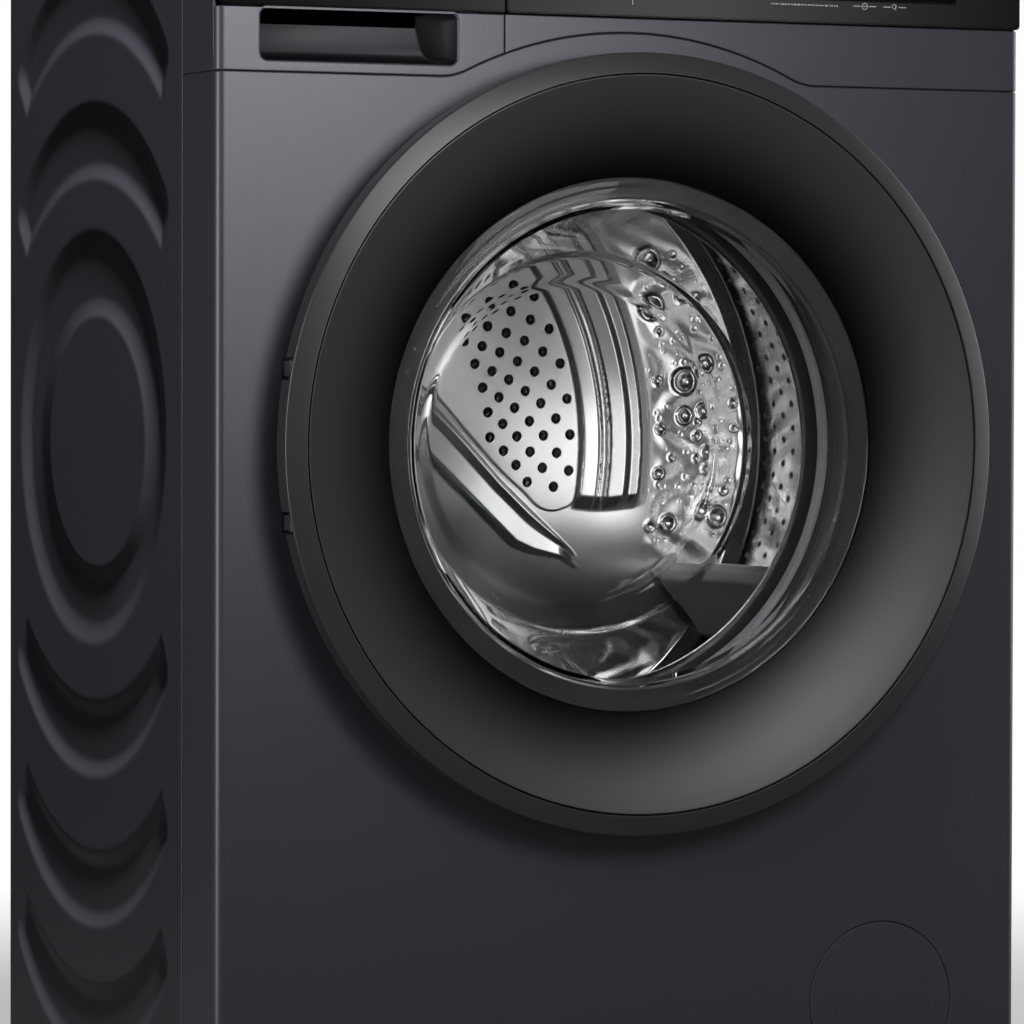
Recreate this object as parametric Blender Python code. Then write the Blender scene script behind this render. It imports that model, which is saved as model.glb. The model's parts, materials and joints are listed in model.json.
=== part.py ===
"""Slim front load washing machine, in metres, +Z up, its door facing -Y.

The origin is the middle of the bounding box's bottom. Depths are counted backwards from the
outer face of the front panel, and behind() turns a depth into a world Y.
"""

import math

import bmesh
import bpy
from mathutils import Matrix, Vector

# Driving dimensions
WIDTH = 0.595
HEIGHT = 0.850
WORKTOP_DEPTH = 0.400  # front face to the worktop's rear edge
SIDE_REAR = 0.3963  # rear edge of the side panels
DOOR_PROUD = 0.032
CORNER_R = 0.006  # vertical front corners
SHEET = 0.0008
GAP = 0.0003
CABINET_BOTTOM = 0.018
WRAP_DEPTH = 0.060  # how far the front wraps round each side

AXIS_Z = 0.469  # height of the door's and drum's axis
DOOR_R = 0.2605
BEVEL_R = 0.246
DISH_R = 0.1784  # where the dish meets the glass
OPENING_R = 0.186

SEAM_Z = 0.7115  # seam between the main and the upper front panel
SEAM_ARC_R = 0.2746
SEAM_FILLET_R = 0.045
FASCIA_Z = 0.7541
FASCIA_TOP = 0.8272
FASCIA_PROUD = 0.0015
DRAWER_SPLIT_X = -0.0930

TUB_R = 0.2605
TUB_IN_R = 0.257
FLANGE_R = 0.268
DRUM_R = 0.2455
LIFTERS = 3

HINGE_X = -0.2485
HINGE_DEPTH = -0.0165
KNUCKLE_Z = 0.050  # height of the outer knuckles above and below the axis
PIN_R = 0.0019
KNUCKLE_R = 0.0045

FILTER_X = 0.1918
FILTER_Z = 0.0875
FLAP_R = 0.0541
MOTOR_Z = 0.140
PULLEY_R = 0.140
MOTOR_PULLEY_R = 0.0100
BELT = (0.351, 0.363)  # depths of the belt's two edges

HALF = WIDTH / 2
FRONT_Y = DOOR_PROUD - (DOOR_PROUD + WORKTOP_DEPTH) / 2
ROUND = 36  # facets of the large rings
MIDDLE = 20
SMALL = 14

COLOURS = {  # base colour, roughness, metallic
    "cabinet_paint": ((0.030, 0.027, 0.036), 0.35, 0.5),
    "side_paint": ((0.020, 0.019, 0.022), 0.45, 0.3),
    "black_gloss": ((0.022, 0.022, 0.021), 0.25, 0.0),
    "display_black": ((0.005, 0.005, 0.006), 0.08, 0.0),
    "door_black": ((0.020, 0.020, 0.020), 0.30, 0.2),
    "glass": ((0.80, 0.82, 0.82), 0.02, 0.0),
    "stainless": ((0.55, 0.55, 0.55), 0.20, 1.0),
    "steel": ((0.40, 0.40, 0.41), 0.35, 1.0),
    "zinc": ((0.45, 0.46, 0.47), 0.40, 1.0),
    "casting": ((0.42, 0.43, 0.44), 0.50, 1.0),
    "rubber_grey": ((0.16, 0.16, 0.17), 0.65, 0.0),
    "rubber_black": ((0.02, 0.02, 0.02), 0.70, 0.0),
    "tub_plastic": ((0.55, 0.56, 0.57), 0.50, 0.0),
    "white_plastic": ((0.78, 0.79, 0.80), 0.40, 0.0),
    "dark_plastic": ((0.03, 0.03, 0.032), 0.50, 0.0),
    "concrete": ((0.38, 0.37, 0.35), 0.90, 0.0),
    "circuit_green": ((0.02, 0.10, 0.05), 0.40, 0.0),
    "copper": ((0.60, 0.28, 0.14), 0.35, 1.0),
}


def behind(depth):
    return FRONT_Y + depth


def material(name):
    found = bpy.data.materials.get(name)
    if found:
        return found
    colour, roughness, metallic = COLOURS[name]
    made = bpy.data.materials.new(name)
    made.use_nodes = True
    shader = made.node_tree.nodes["Principled BSDF"]
    shader.inputs["Base Color"].default_value = (*colour, 1)
    shader.inputs["Roughness"].default_value = roughness
    shader.inputs["Metallic"].default_value = metallic
    if name == "glass":
        shader.inputs["Transmission Weight"].default_value = 1
    return made


# Shapes


def finished(name, bm, finish, at=(0, 0, 0)):
    """One object from a bmesh in world space, with its origin moved to the given point."""
    bmesh.ops.recalc_face_normals(bm, faces=bm.faces)
    mesh = bpy.data.meshes.new(name)
    bm.to_mesh(mesh)
    bm.free()
    mesh.transform(Matrix.Translation(-Vector(at)))
    mesh.shade_smooth()
    mesh.set_sharp_from_angle(angle=math.radians(32))
    made = bpy.data.objects.new(name, mesh)
    made.location = at
    bpy.context.collection.objects.link(made)
    mesh.materials.append(material(finish))
    return made


def block(name, finish, x, depth, z, at=None):
    """A box between two x values, two depths and two heights."""
    bm = bmesh.new()
    bmesh.ops.create_cube(bm, size=1)
    low = Vector((x[0], behind(depth[0]), z[0]))
    high = Vector((x[1], behind(depth[1]), z[1]))
    size = high - low
    bmesh.ops.transform(bm, matrix=Matrix.Diagonal((*size, 1)), verts=bm.verts)
    bmesh.ops.translate(bm, vec=(low + high) / 2, verts=bm.verts)
    return finished(name, bm, finish, at or (low + high) / 2)


def prism(name, finish, outline, along, span, at=(0, 0, 0)):
    """An outline pushed along one axis: X takes (y, z) points, Y (x, z) points, Z (x, y) points."""
    place = {
        "X": lambda a, b, c: (c, a, b),
        "Y": lambda a, b, c: (a, c, b),
        "Z": lambda a, b, c: (a, b, c),
    }[along]
    bm = bmesh.new()
    base = bm.faces.new([bm.verts.new(place(a, b, span[0])) for a, b in outline])
    grown = bmesh.ops.extrude_face_region(bm, geom=[base])["geom"]
    lifted = [item for item in grown if isinstance(item, bmesh.types.BMVert)]
    bmesh.ops.translate(bm, vec=place(0, 0, span[1] - span[0]), verts=lifted)
    return finished(name, bm, finish, at)


def turned(name, finish, profile, centre, along="Y", segments=ROUND, at=None):
    """A profile of (radius, distance along the axis) points spun once about an axis.

    A profile whose ends are off the axis is closed into a ring.
    """
    axis = {"X": Vector((1, 0, 0)), "Y": Vector((0, 1, 0)), "Z": Vector((0, 0, 1))}[along]
    out = Vector((0, 0, 1)) if along == "X" else Vector((1, 0, 0))
    bm = bmesh.new()
    verts = [bm.verts.new(out * radius + axis * distance) for radius, distance in profile]
    edges = [bm.edges.new(pair) for pair in zip(verts, verts[1:])]
    if profile[0][0] > 0 or profile[-1][0] > 0:
        edges.append(bm.edges.new((verts[-1], verts[0])))
    bmesh.ops.spin(bm, geom=verts + edges, cent=(0, 0, 0), axis=axis, steps=segments, angle=math.tau)
    bmesh.ops.remove_doubles(bm, verts=bm.verts, dist=1e-5)
    bmesh.ops.translate(bm, vec=centre, verts=bm.verts)
    return finished(name, bm, finish, at or centre)


def rod(name, finish, radius, centre, along, span, segments=SMALL, at=None):
    profile = [(0, span[0]), (radius, span[0]), (radius, span[1]), (0, span[1])]
    return turned(name, finish, profile, centre, along, segments, at)


def axis_point(x=0.0, z=AXIS_Z):
    """The point of an axis along Y that has depth 0."""
    return (x, FRONT_Y, z)


def tube(name, finish, points, radius, resolution=2):
    """A pipe with capped ends along a list of (x, depth, z) points."""
    curve = bpy.data.curves.new(name, "CURVE")
    curve.dimensions = "3D"
    curve.bevel_depth = radius
    curve.bevel_resolution = resolution
    curve.use_fill_caps = True
    spline = curve.splines.new("POLY")
    spline.points.add(len(points) - 1)
    for point, (x, depth, z) in zip(spline.points, points):
        point.co = (x, behind(depth), z, 1)
    made = bpy.data.objects.new(name, curve)
    bpy.context.collection.objects.link(made)
    curve.materials.append(material(finish))
    return made


def smooth_route(knots, steps=4):
    """Points on a Catmull-Rom curve through the knots."""
    knots = [Vector(k) for k in knots]
    ends = [2 * knots[0] - knots[1], *knots, 2 * knots[-1] - knots[-2]]
    points = []
    for a, b, c, d in zip(ends, ends[1:], ends[2:], ends[3:]):
        for step in range(steps):
            t = step / steps
            points.append(
                0.5 * (2 * b + (c - a) * t + (2 * a - 5 * b + 4 * c - d) * t**2
                       + (3 * b - a - 3 * c + d) * t**3)
            )
    return [*points, knots[-1]]


def boolean(target, tool, operation):
    modifier = target.modifiers.new(operation.lower(), "BOOLEAN")
    modifier.operation = operation
    modifier.object = tool
    tool.hide_render = True
    tool.display_type = "WIRE"


def cut(target, *tools):
    for tool in tools:
        boolean(target, tool, "DIFFERENCE")


def join(target, *tools):
    for tool in tools:
        boolean(target, tool, "UNION")


def arc(centre, radius, start, end, steps):
    """Points on an arc from one angle in degrees to another, both ends included."""
    angles = [math.radians(start + (end - start) * step / steps) for step in range(steps + 1)]
    return [(centre[0] + radius * math.cos(a), centre[1] + radius * math.sin(a)) for a in angles]


def circle(centre, radius, count):
    return arc(centre, radius, 0, 360, count)[:-1]


def rounded(x, z, radius, steps=3):
    """A rectangle with round corners, counter-clockwise from the lower right."""
    corners = (
        ((x[1] - radius, z[0] + radius), -90),
        ((x[1] - radius, z[1] - radius), 0),
        ((x[0] + radius, z[1] - radius), 90),
        ((x[0] + radius, z[0] + radius), 180),
    )
    return [p for centre, start in corners for p in arc(centre, radius, start, start + 90, steps)]


# Cabinet


def seam_line(shift):
    """The seam from left to right: level, then a low arch that follows the door, then level."""
    level = SEAM_Z + shift
    radius = SEAM_ARC_R + shift
    fillet = SEAM_FILLET_R - shift
    rise = level + fillet - AXIS_Z
    fillet_x = math.sqrt((radius + fillet) ** 2 - rise**2)
    lean = math.degrees(math.atan2(rise, fillet_x))
    left = arc((-fillet_x, level + fillet), fillet, 270, 360 - lean, 3)
    arch = arc((0, AXIS_Z), radius, 180 - lean, lean, 12)
    right = arc((fillet_x, level + fillet), fillet, 180 + lean, 270, 3)
    return [*left, *arch[1:-1], *right]


def above_seam(name, shift):
    """A tool that covers everything above the seam."""
    line = [(-HALF - 0.01, SEAM_Z + shift), *seam_line(shift), (HALF + 0.01, SEAM_Z + shift)]
    outline = [*line, (HALF + 0.01, HEIGHT), (-HALF - 0.01, HEIGHT)]
    return prism(name, "cabinet_paint", outline, "Y", (behind(-0.02), behind(0.10)))


def below_seam(name, shift):
    line = [(-HALF - 0.01, SEAM_Z + shift), *seam_line(shift), (HALF + 0.01, SEAM_Z + shift)]
    outline = [(HALF + 0.01, 0.5), *reversed(line), (-HALF - 0.01, 0.5)]
    return prism(name, "cabinet_paint", outline, "Y", (behind(-0.02), behind(0.10)))


def wrapped_sheet(thickness):
    """Plan of a sheet across the front and back along both sides, with round corners."""
    def run(inset):
        radius = CORNER_R - inset
        right = arc((HALF - CORNER_R, behind(CORNER_R)), radius, 0, -90, 3)
        left = arc((CORNER_R - HALF, behind(CORNER_R)), radius, -90, -180, 3)
        side = HALF - inset
        return [(side, behind(WRAP_DEPTH)), *right, *left, (-side, behind(WRAP_DEPTH))]

    return [*run(0), *reversed(run(thickness))]


def make_front_panel():
    thickness = 0.001
    panel = prism("front_panel", "cabinet_paint", wrapped_sheet(thickness), "Z", (CABINET_BOTTOM, 0.76))
    through = (behind(-0.01), behind(0.02))
    cut(
        panel,
        above_seam("front_panel_top_cutter", 0),
        prism("door_opening_cutter", "cabinet_paint", circle((0, AXIS_Z), OPENING_R, ROUND), "Y", through),
        prism("flap_opening_cutter", "cabinet_paint",
              circle((FILTER_X, FILTER_Z), FLAP_R + 0.0006, 32), "Y", through),
        block("hook_slot_cutter", "cabinet_paint", (0.209, 0.226), (-0.01, 0.02),
              (AXIS_Z - 0.015, AXIS_Z + 0.015)),
    )
    for side, sign in (("upper", 1), ("lower", -1)):
        height = AXIS_Z + sign * KNUCKLE_Z
        cut(panel, block(f"{side}_hinge_slot_cutter", "cabinet_paint", (HINGE_X - 0.003, HINGE_X + 0.003),
                         (-0.01, 0.02), (height - 0.0065, height + 0.0065)))


def make_upper_front_panel():
    panel = prism("upper_front_panel", "cabinet_paint", wrapped_sheet(0.0016), "Z", (0.70, FASCIA_TOP))
    edge = DRAWER_SPLIT_X + GAP
    cut(
        panel,
        below_seam("upper_panel_bottom_cutter", GAP),
        block("drawer_front_cutter", "cabinet_paint", (-HALF - 0.01, edge), (-0.02, CORNER_R + GAP),
              (0.69, 0.86)),
        block("fascia_cutter", "cabinet_paint", (edge - 0.01, HALF + 0.01), (-0.02, CORNER_R + GAP),
              (FASCIA_Z - GAP, 0.86)),
    )
    rail_z = (SEAM_Z + 0.0007, SEAM_Z + 0.0040)
    join(
        panel,
        block("rail_behind_drawer", "cabinet_paint", (0.0010 - HALF, edge + 0.008), (0.0070, 0.0105), rail_z),
        block("rail_riser", "cabinet_paint", (edge, edge + 0.008), (0.0070, 0.0105), (rail_z[0], 0.748)),
        block("rail_foot", "cabinet_paint", (edge, edge + 0.008), (0.0008, 0.0105), (0.738, 0.748)),
    )


def make_control_fascia():
    x = (DRAWER_SPLIT_X + GAP, HALF)
    z = (FASCIA_Z, FASCIA_TOP)
    fascia = prism("control_fascia", "black_gloss", rounded(x, z, 0.003, 2), "Y",
                   (behind(-FASCIA_PROUD), behind(CORNER_R)))
    box = (x[0], x[1] - 0.004)
    wall = 0.002
    join(fascia, block("fascia_box", "black_gloss", box, (0.0, 0.050), z))
    cut(fascia, block("fascia_hollow_cutter", "black_gloss", (box[0] + wall, box[1] - wall), (0.002, 0.06),
                      (z[0] + wall, z[1] - wall)))
    for name, centre, radius in FASCIA_HOLES:
        cut(fascia, prism(f"{name}_hole_cutter", "black_gloss", circle(centre, radius, MIDDLE), "Y",
                          (behind(-0.01), behind(0.01))))
    cut(fascia, block("display_recess_cutter", "black_gloss", DISPLAY_X, (-0.01, -0.0004), DISPLAY_Z))


DISPLAY_X = (0.075, 0.2473)
DISPLAY_Z = (0.7703, 0.8170)
DIAL = (0.0, 0.7925)
POWER = (-0.060, 0.7925)
START = (0.045, 0.7925)
BUTTON_R = 0.0085
FASCIA_HOLES = (
    ("dial_shaft", DIAL, 0.0045),
    ("power_button", POWER, BUTTON_R + 0.0005),
    ("start_button", START, BUTTON_R + 0.0005),
)


def make_controls():
    inset = 0.0004
    block("display_window", "display_black", (DISPLAY_X[0] + inset, DISPLAY_X[1] - inset),
          (-FASCIA_PROUD, -0.0004 - GAP), (DISPLAY_Z[0] + inset, DISPLAY_Z[1] - inset))
    board = block("control_board", "circuit_green", (0.050, 0.262), (0.0140, 0.0156), (0.760, 0.822))
    join(board, block("display_module", "circuit_green", (0.080, 0.242), (0.004, 0.0150), (0.774, 0.814)))
    skirt = -FASCIA_PROUD - 0.0006
    turned("programme_dial", "black_gloss",
           [(0, -0.0190), (0.0205, -0.0190), (0.0215, -0.0175), (0.0230, skirt), (0.0038, skirt),
            (0.0038, 0.011), (0, 0.011)],
           axis_point(*DIAL), segments=MIDDLE)
    for name, centre in (("power_button", POWER), ("start_button", START)):
        turned(name, "black_gloss",
               [(0, -0.0040), (0.0070, -0.0040), (BUTTON_R, -0.0032), (BUTTON_R, 0.0090), (0, 0.0090)],
               axis_point(*centre), segments=MIDDLE)


def crescent(centre_depth, top, sign):
    """A pressed crescent on the side: two arcs that meet in points, arched up or sagging down."""
    half_span = 0.141
    outer_rise, inner_rise = 0.100, 0.050
    def run(rise, steps, reach):
        radius = (reach**2 + rise**2) / (2 * rise)
        half = math.degrees(math.asin(reach / radius))
        middle = top - sign * radius
        return arc((centre_depth, middle), radius, sign * (90 - half), sign * (90 + half), steps)

    outer = run(outer_rise, 8, half_span)
    inner = [(y, z - sign * 0.049) for y, z in run(inner_rise, 6, half_span - 0.012)]
    return [*outer, *reversed(inner)]


EMBOSS_DEPTH = 0.003
EMBOSS_MIDDLE = 0.2275
CRESCENT_TOPS = ((0.7017, 1), (0.8000, 1), (0.2380, -1), (0.1355, -1), (0.0400, -1))
RING_MIDDLE = (0.2319, 0.4722)  # depth and height of the pressed ring
RING_R = 0.134
PAD_MIDDLE = (0.2229, 0.4695)  # the oval pad inside it stays level with the panel
PAD_HALF = (0.1035, 0.0918)


def make_side_panel(name, sign):
    x_out = sign * HALF
    x_in = x_out - sign * SHEET
    front, rear = behind(WRAP_DEPTH + GAP), behind(SIDE_REAR)
    flange = sign * 0.012
    plan = [(x_out, front), (x_out, rear), (x_out - flange, rear), (x_out - flange, rear - SHEET),
            (x_in, rear - SHEET), (x_in, front + SHEET), (x_out - flange, front + SHEET),
            (x_out - flange, front)]
    panel = prism(name, "side_paint", plan, "Z", (CABINET_BOTTOM, FASCIA_TOP))
    floor = x_out - sign * EMBOSS_DEPTH
    outlines = [crescent(behind(EMBOSS_MIDDLE), top, way) for top, way in CRESCENT_TOPS]
    outlines.append(circle((behind(RING_MIDDLE[0]), RING_MIDDLE[1]), RING_R, 28))
    for index, outline in enumerate(outlines):
        centre = Vector((sum(p[0] for p in outline), sum(p[1] for p in outline))) / len(outline)
        wider = grown(outline, 0.001)
        boss = prism(f"{name}_boss_{index}", "side_paint", wider, "X",
                     sorted((x_out - sign * 0.0005, floor - sign * SHEET)), at=(0, *centre))
        recess = prism(f"{name}_recess_{index}", "side_paint", outline, "X",
                       sorted((x_out + sign * 0.002, floor)), at=(0, *centre))
        join(panel, boss)
        cut(panel, recess)
    face = x_out - sign * GAP
    pad = [(behind(PAD_MIDDLE[0]) + PAD_HALF[0] * y, PAD_MIDDLE[1] + PAD_HALF[1] * z)
           for y, z in circle((0, 0), 1, 28)]
    centre = (0, behind(PAD_MIDDLE[0]), PAD_MIDDLE[1])
    join(panel, prism(f"{name}_pad", "side_paint", pad, "X", sorted((face, floor - sign * SHEET / 2)), at=centre))
    cut(panel, prism(f"{name}_pad_hollow", "side_paint", grown(pad, -0.001), "X",
                     sorted((face - sign * SHEET, floor - sign * 0.002)), at=centre))
    reach = sorted((x_out - sign * 0.0004, sign * 0.178))
    join(panel, block(f"{name}_spring_tab", "side_paint", reach, SPRING_TAB, (0.7960, 0.7980)))


def grown(outline, by):
    """The outline with every point pushed out along the mean normal of its two edges."""
    points = [Vector(p) for p in outline]
    area = sum(a.x * b.y - b.x * a.y for a, b in zip(points, points[1:] + points[:1]))
    turn = 1 if area > 0 else -1
    moved = []
    for before, here, after in zip(points[-1:] + points[:-1], points, points[1:] + points[:1]):
        first, second = (here - before).normalized(), (after - here).normalized()
        normal = turn * Vector((first.y + second.y, -first.x - second.x)).normalized()
        moved.append(here + by * normal)
    return [tuple(p) for p in moved]


BACK = (0.3840, 0.3848)
VALVE_X = -0.150
VALVE_Z = 0.785
INLET_X = 0.200
DRAIN_END = (0.240, 0.3955, 0.160)


def make_back_panel():
    side = HALF - SHEET - GAP
    panel = block("back_panel", "zinc", (-side, side), BACK, (CABINET_BOTTOM, FASCIA_TOP))
    centre = axis_point()
    join(panel, rod("belt_cover_boss", "zinc", 0.190, centre, "Y", (BACK[0] + 0.0002, BACK[1] + 0.0060), 32))
    cut(panel, rod("belt_cover_hollow", "zinc", 0.188, centre, "Y", (BACK[0] - 0.01, BACK[1] + 0.0052), 32))
    for name, x, z, radius in (
        ("valve", VALVE_X, VALVE_Z, 0.0138),
        ("mains", INLET_X, VALVE_Z, 0.0108),
        ("drain", DRAIN_END[0], DRAIN_END[2], 0.0125),
    ):
        cut(panel, rod(f"{name}_hole_cutter", "zinc", radius, axis_point(x, z), "Y", (0.37, 0.40)))


FOOT_PLACES = {
    "foot_front_left": (-0.250, 0.050),
    "foot_front_right": (0.250, 0.050),
    "foot_rear_left": (-0.250, 0.340),
    "foot_rear_right": (0.250, 0.340),
}


def make_base():
    side, wall = 0.2850, 0.003
    tray = block("base_tray", "dark_plastic", (-side, side), (0.0030, 0.3830), (CABINET_BOTTOM, 0.0300))
    cut(tray, block("tray_hollow_cutter", "dark_plastic", (wall - side, side - wall),
                    (0.0030 + wall, 0.3830 - wall), (CABINET_BOTTOM + wall, 0.06)))
    for name, (x, depth) in FOOT_PLACES.items():
        centre = (x, behind(depth), 0)
        cut(tray, rod(f"{name}_hole_cutter", "dark_plastic", 0.0066, centre, "Z", (0.01, 0.03), 12))
        turned(name, "rubber_black",
               [(0, 0), (0.019, 0), (0.021, 0.003), (0.021, 0.007), (0.009, 0.0105), (0.006, 0.012),
                (0.006, 0.034), (0, 0.034)],
               centre, "Z", 12)


def make_worktop():
    top = prism("worktop", "dark_plastic",
                rounded((-HALF, HALF), (behind(0), behind(WORKTOP_DEPTH)), 0.008), "Z",
                (FASCIA_TOP + GAP, HEIGHT), at=(0, behind(WORKTOP_DEPTH / 2), HEIGHT))
    bevel = top.modifiers.new("edge", "BEVEL")
    bevel.width = 0.003
    bevel.segments = 2
    bevel.limit_method = "ANGLE"
    bevel.angle_limit = math.radians(60)


# Door


def dish_curve(offset, steps=5):
    """From the outer rim inwards: a shallow cone, bowed a little outwards."""
    reach, drop = BEVEL_R - GAP - DISH_R, 0.0255
    return [
        (DISH_R + reach * t, -0.0060 - drop * (t + 0.25 * t * (1 - t)) + offset)
        for t in (1 - step / steps for step in range(steps + 1))
    ]


def notch(name, side):
    height = AXIS_Z + side * KNUCKLE_Z
    return block(name, "door_black", (HINGE_X - 0.020, HINGE_X + 0.006), (-0.0252, 0.0),
                 (height - 0.0075, height + 0.0075))


def make_door():
    hinge = (HINGE_X, behind(HINGE_DEPTH), AXIS_Z)
    centre = axis_point()
    ring = turned(
        "door_ring", "door_black",
        [(DOOR_R, -0.0125), (DOOR_R, -0.0273), (BEVEL_R, -DOOR_PROUD), (BEVEL_R, -0.0290),
         (0.2572, -0.0255), (0.2575, -0.0125)],
        centre, at=hinge)
    cut(ring, notch("upper_notch_cutter", 1), notch("lower_notch_cutter", -1))
    turned("door_dish", "door_black", [*dish_curve(0), *reversed(dish_curve(0.0022))], centre, at=hinge)
    frame = turned(
        "door_back_frame", "door_black",
        [(0.186, -0.0050), (0.2000, -0.0122), (0.2475, -0.0122), (0.2475, -0.0012), (0.164, -0.0012),
         (0.164, -0.0024), (0.186, -0.0024)],
        centre, at=hinge)
    cut(
        frame,
        block("hook_window_cutter", "door_black", (0.2070, 0.2290), (-0.02, 0.01),
              (AXIS_Z - 0.0115, AXIS_Z + 0.0115)),
        block("hinge_seat_cutter", "door_black", (-0.26, -0.2285), (-0.02, -0.0088),
              (AXIS_Z - 0.0455, AXIS_Z + 0.0455)),
    )
    turned(
        "door_glass", "glass",
        [(0, 0.0990), (0.060, 0.0975), (0.110, 0.0910), (0.128, 0.0770), (0.158, -0.0020),
         (0.166, -0.0070), (0.1778, -0.0057), (0.1778, -0.0027), (0.1620, -0.0027), (0.1325, 0.0790),
         (0.113, 0.0945), (0.062, 0.1015), (0, 0.1030)],
        centre, at=hinge)
    make_hinge(hinge)
    make_hook()


def make_hinge(hinge):
    bore = PIN_R + GAP
    half = KNUCKLE_Z - 0.0053
    arm = turned("hinge_arm", "casting",
                 [(bore, -half), (KNUCKLE_R, -half), (KNUCKLE_R, half), (bore, half)],
                 hinge, "Z", SMALL)
    join(arm, block("arm_plate", "casting", (HINGE_X + 0.0030, -0.2290),
                    (HINGE_DEPTH + 0.0010, HINGE_DEPTH + 0.0040), (AXIS_Z - 0.044, AXIS_Z + 0.044)))
    join(arm, block("arm_step", "casting", (-0.2420, -0.2290), (HINGE_DEPTH + 0.0010, -0.0091),
                    (AXIS_Z - 0.044, AXIS_Z + 0.044)))
    rod("hinge_pin", "steel", PIN_R, hinge, "Z", (-KNUCKLE_Z - 0.0065, KNUCKLE_Z + 0.0065), 12)
    bracket = block("hinge_bracket", "casting", (-0.2620, -0.2250), (0.0013, 0.0035),
                    (AXIS_Z - 0.075, AXIS_Z + 0.075))
    for name, sign in (("upper", 1), ("lower", -1)):
        z = AXIS_Z + sign * KNUCKLE_Z
        span = (sign * KNUCKLE_Z - 0.005, sign * KNUCKLE_Z + 0.005)
        join(
            bracket,
            block(f"{name}_bracket_arm", "casting", (HINGE_X - 0.002, HINGE_X + 0.002),
                  (HINGE_DEPTH + 0.0003, 0.0020), (z - 0.0049, z + 0.0049)),
            rod(f"{name}_knuckle", "casting", KNUCKLE_R, hinge, "Z", span),
        )
        cut(bracket, rod(f"{name}_knuckle_bore", "casting", bore, hinge, "Z",
                         (span[0] - 0.002, span[1] + 0.002), 12))


HOOK_X = 0.2165
HOOK_DEPTH = -0.0065


def make_hook():
    pivot = (HOOK_X, behind(HOOK_DEPTH), AXIS_Z)
    outline = [(HOOK_X + x, behind(depth)) for x, depth in (
        (-0.0030, -0.0095), (0.0030, -0.0095), (0.0030, 0.0085), (0.0075, 0.0085), (0.0075, 0.0105),
        (0.0015, 0.0160), (-0.0030, 0.0160))]
    prism("door_hook", "steel", outline, "Z", (AXIS_Z - 0.0085, AXIS_Z + 0.0085), at=pivot)
    lock = block("door_lock", "dark_plastic", (0.2030, 0.2380), (0.0013, 0.0205),
                 (AXIS_Z - 0.040, AXIS_Z + 0.040))
    cut(lock, block("lock_mouth_cutter", "dark_plastic", (0.2080, 0.2270), (-0.01, 0.0180),
                    (AXIS_Z - 0.0125, AXIS_Z + 0.0125)))


# Dispenser drawer

GRIP_X = (-0.2668, -0.1270)
GRIP_Z = (0.7193, 0.7518)
TRAY_X = (-0.2560, -0.1040)
TRAY_Z = (0.7450, 0.8080)
TRAY_DEPTH = (0.0253, 0.2480)
TRAY_WALL = 0.002


def make_drawer_front():
    left = CORNER_R - HALF
    right = DRAWER_SPLIT_X - GAP
    thickness = 0.0025
    outer = [(right, behind(0)), *arc((left, behind(CORNER_R)), CORNER_R, -90, -180, 3)]
    inner = [*arc((left, behind(CORNER_R)), CORNER_R - thickness, -180, -90, 3), (right, behind(thickness))]
    front = prism("drawer_front", "cabinet_paint", [*outer, *inner], "Z", (0.70, FASCIA_TOP))
    upper = rounded((left + 0.0015 - CORNER_R + 0.001, right), (FASCIA_Z, FASCIA_TOP), 0.003, 2)
    slot = (-0.2657, -0.1591)
    join(
        front,
        prism("drawer_fascia_plate", "black_gloss", upper, "Y", (behind(-FASCIA_PROUD), behind(0.0022))),
        prism("grip_pocket", "cabinet_paint",
              rounded((GRIP_X[0] - 0.002, GRIP_X[1] + 0.002), (GRIP_Z[0] - 0.0025, 0.7790), 0.006), "Y",
              (behind(0.0020), behind(0.0250))),
    )
    cut(
        front,
        below_seam("drawer_bottom_cutter", GAP),
        prism("grip_mouth_cutter", "cabinet_paint", rounded(GRIP_X, (GRIP_Z[0], FASCIA_Z - 0.0005), 0.005), "Y",
              (behind(-0.01), behind(0.0230))),
        block("grip_slot_cutter", "cabinet_paint", slot, (0.0060, 0.0230), (0.7400, 0.7765)),
    )


def make_drawer_tray():
    tray = block("drawer_tray", "white_plastic", TRAY_X, TRAY_DEPTH, TRAY_Z)
    for index, box in enumerate(TRAY_POCKETS):
        cut(tray, block(f"tray_pocket_{index}", "white_plastic", *box))


TRAY_POCKETS = (
    ((-0.2540, -0.2060), (0.0273, 0.2460), (0.7470, 0.82)),
    ((-0.2040, -0.1560), (0.0273, 0.2460), (0.7470, 0.82)),
    ((-0.1540, -0.1060), (0.0273, 0.2460), (0.7470, 0.82)),
)


def make_dispenser_housing():
    x = (TRAY_X[0] - 0.0040, TRAY_X[1] + 0.0040)
    z = (TRAY_Z[0] - 0.0050, 0.8160)
    housing = block("dispenser_housing", "white_plastic", x, (0.0280, 0.2560), z)
    cut(housing, block("housing_hollow_cutter", "white_plastic", (x[0] + 0.0025, x[1] - 0.0025), (0.0, 0.2535),
                       (z[0] + 0.0025, z[1] - 0.0025)))


# Water


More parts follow.
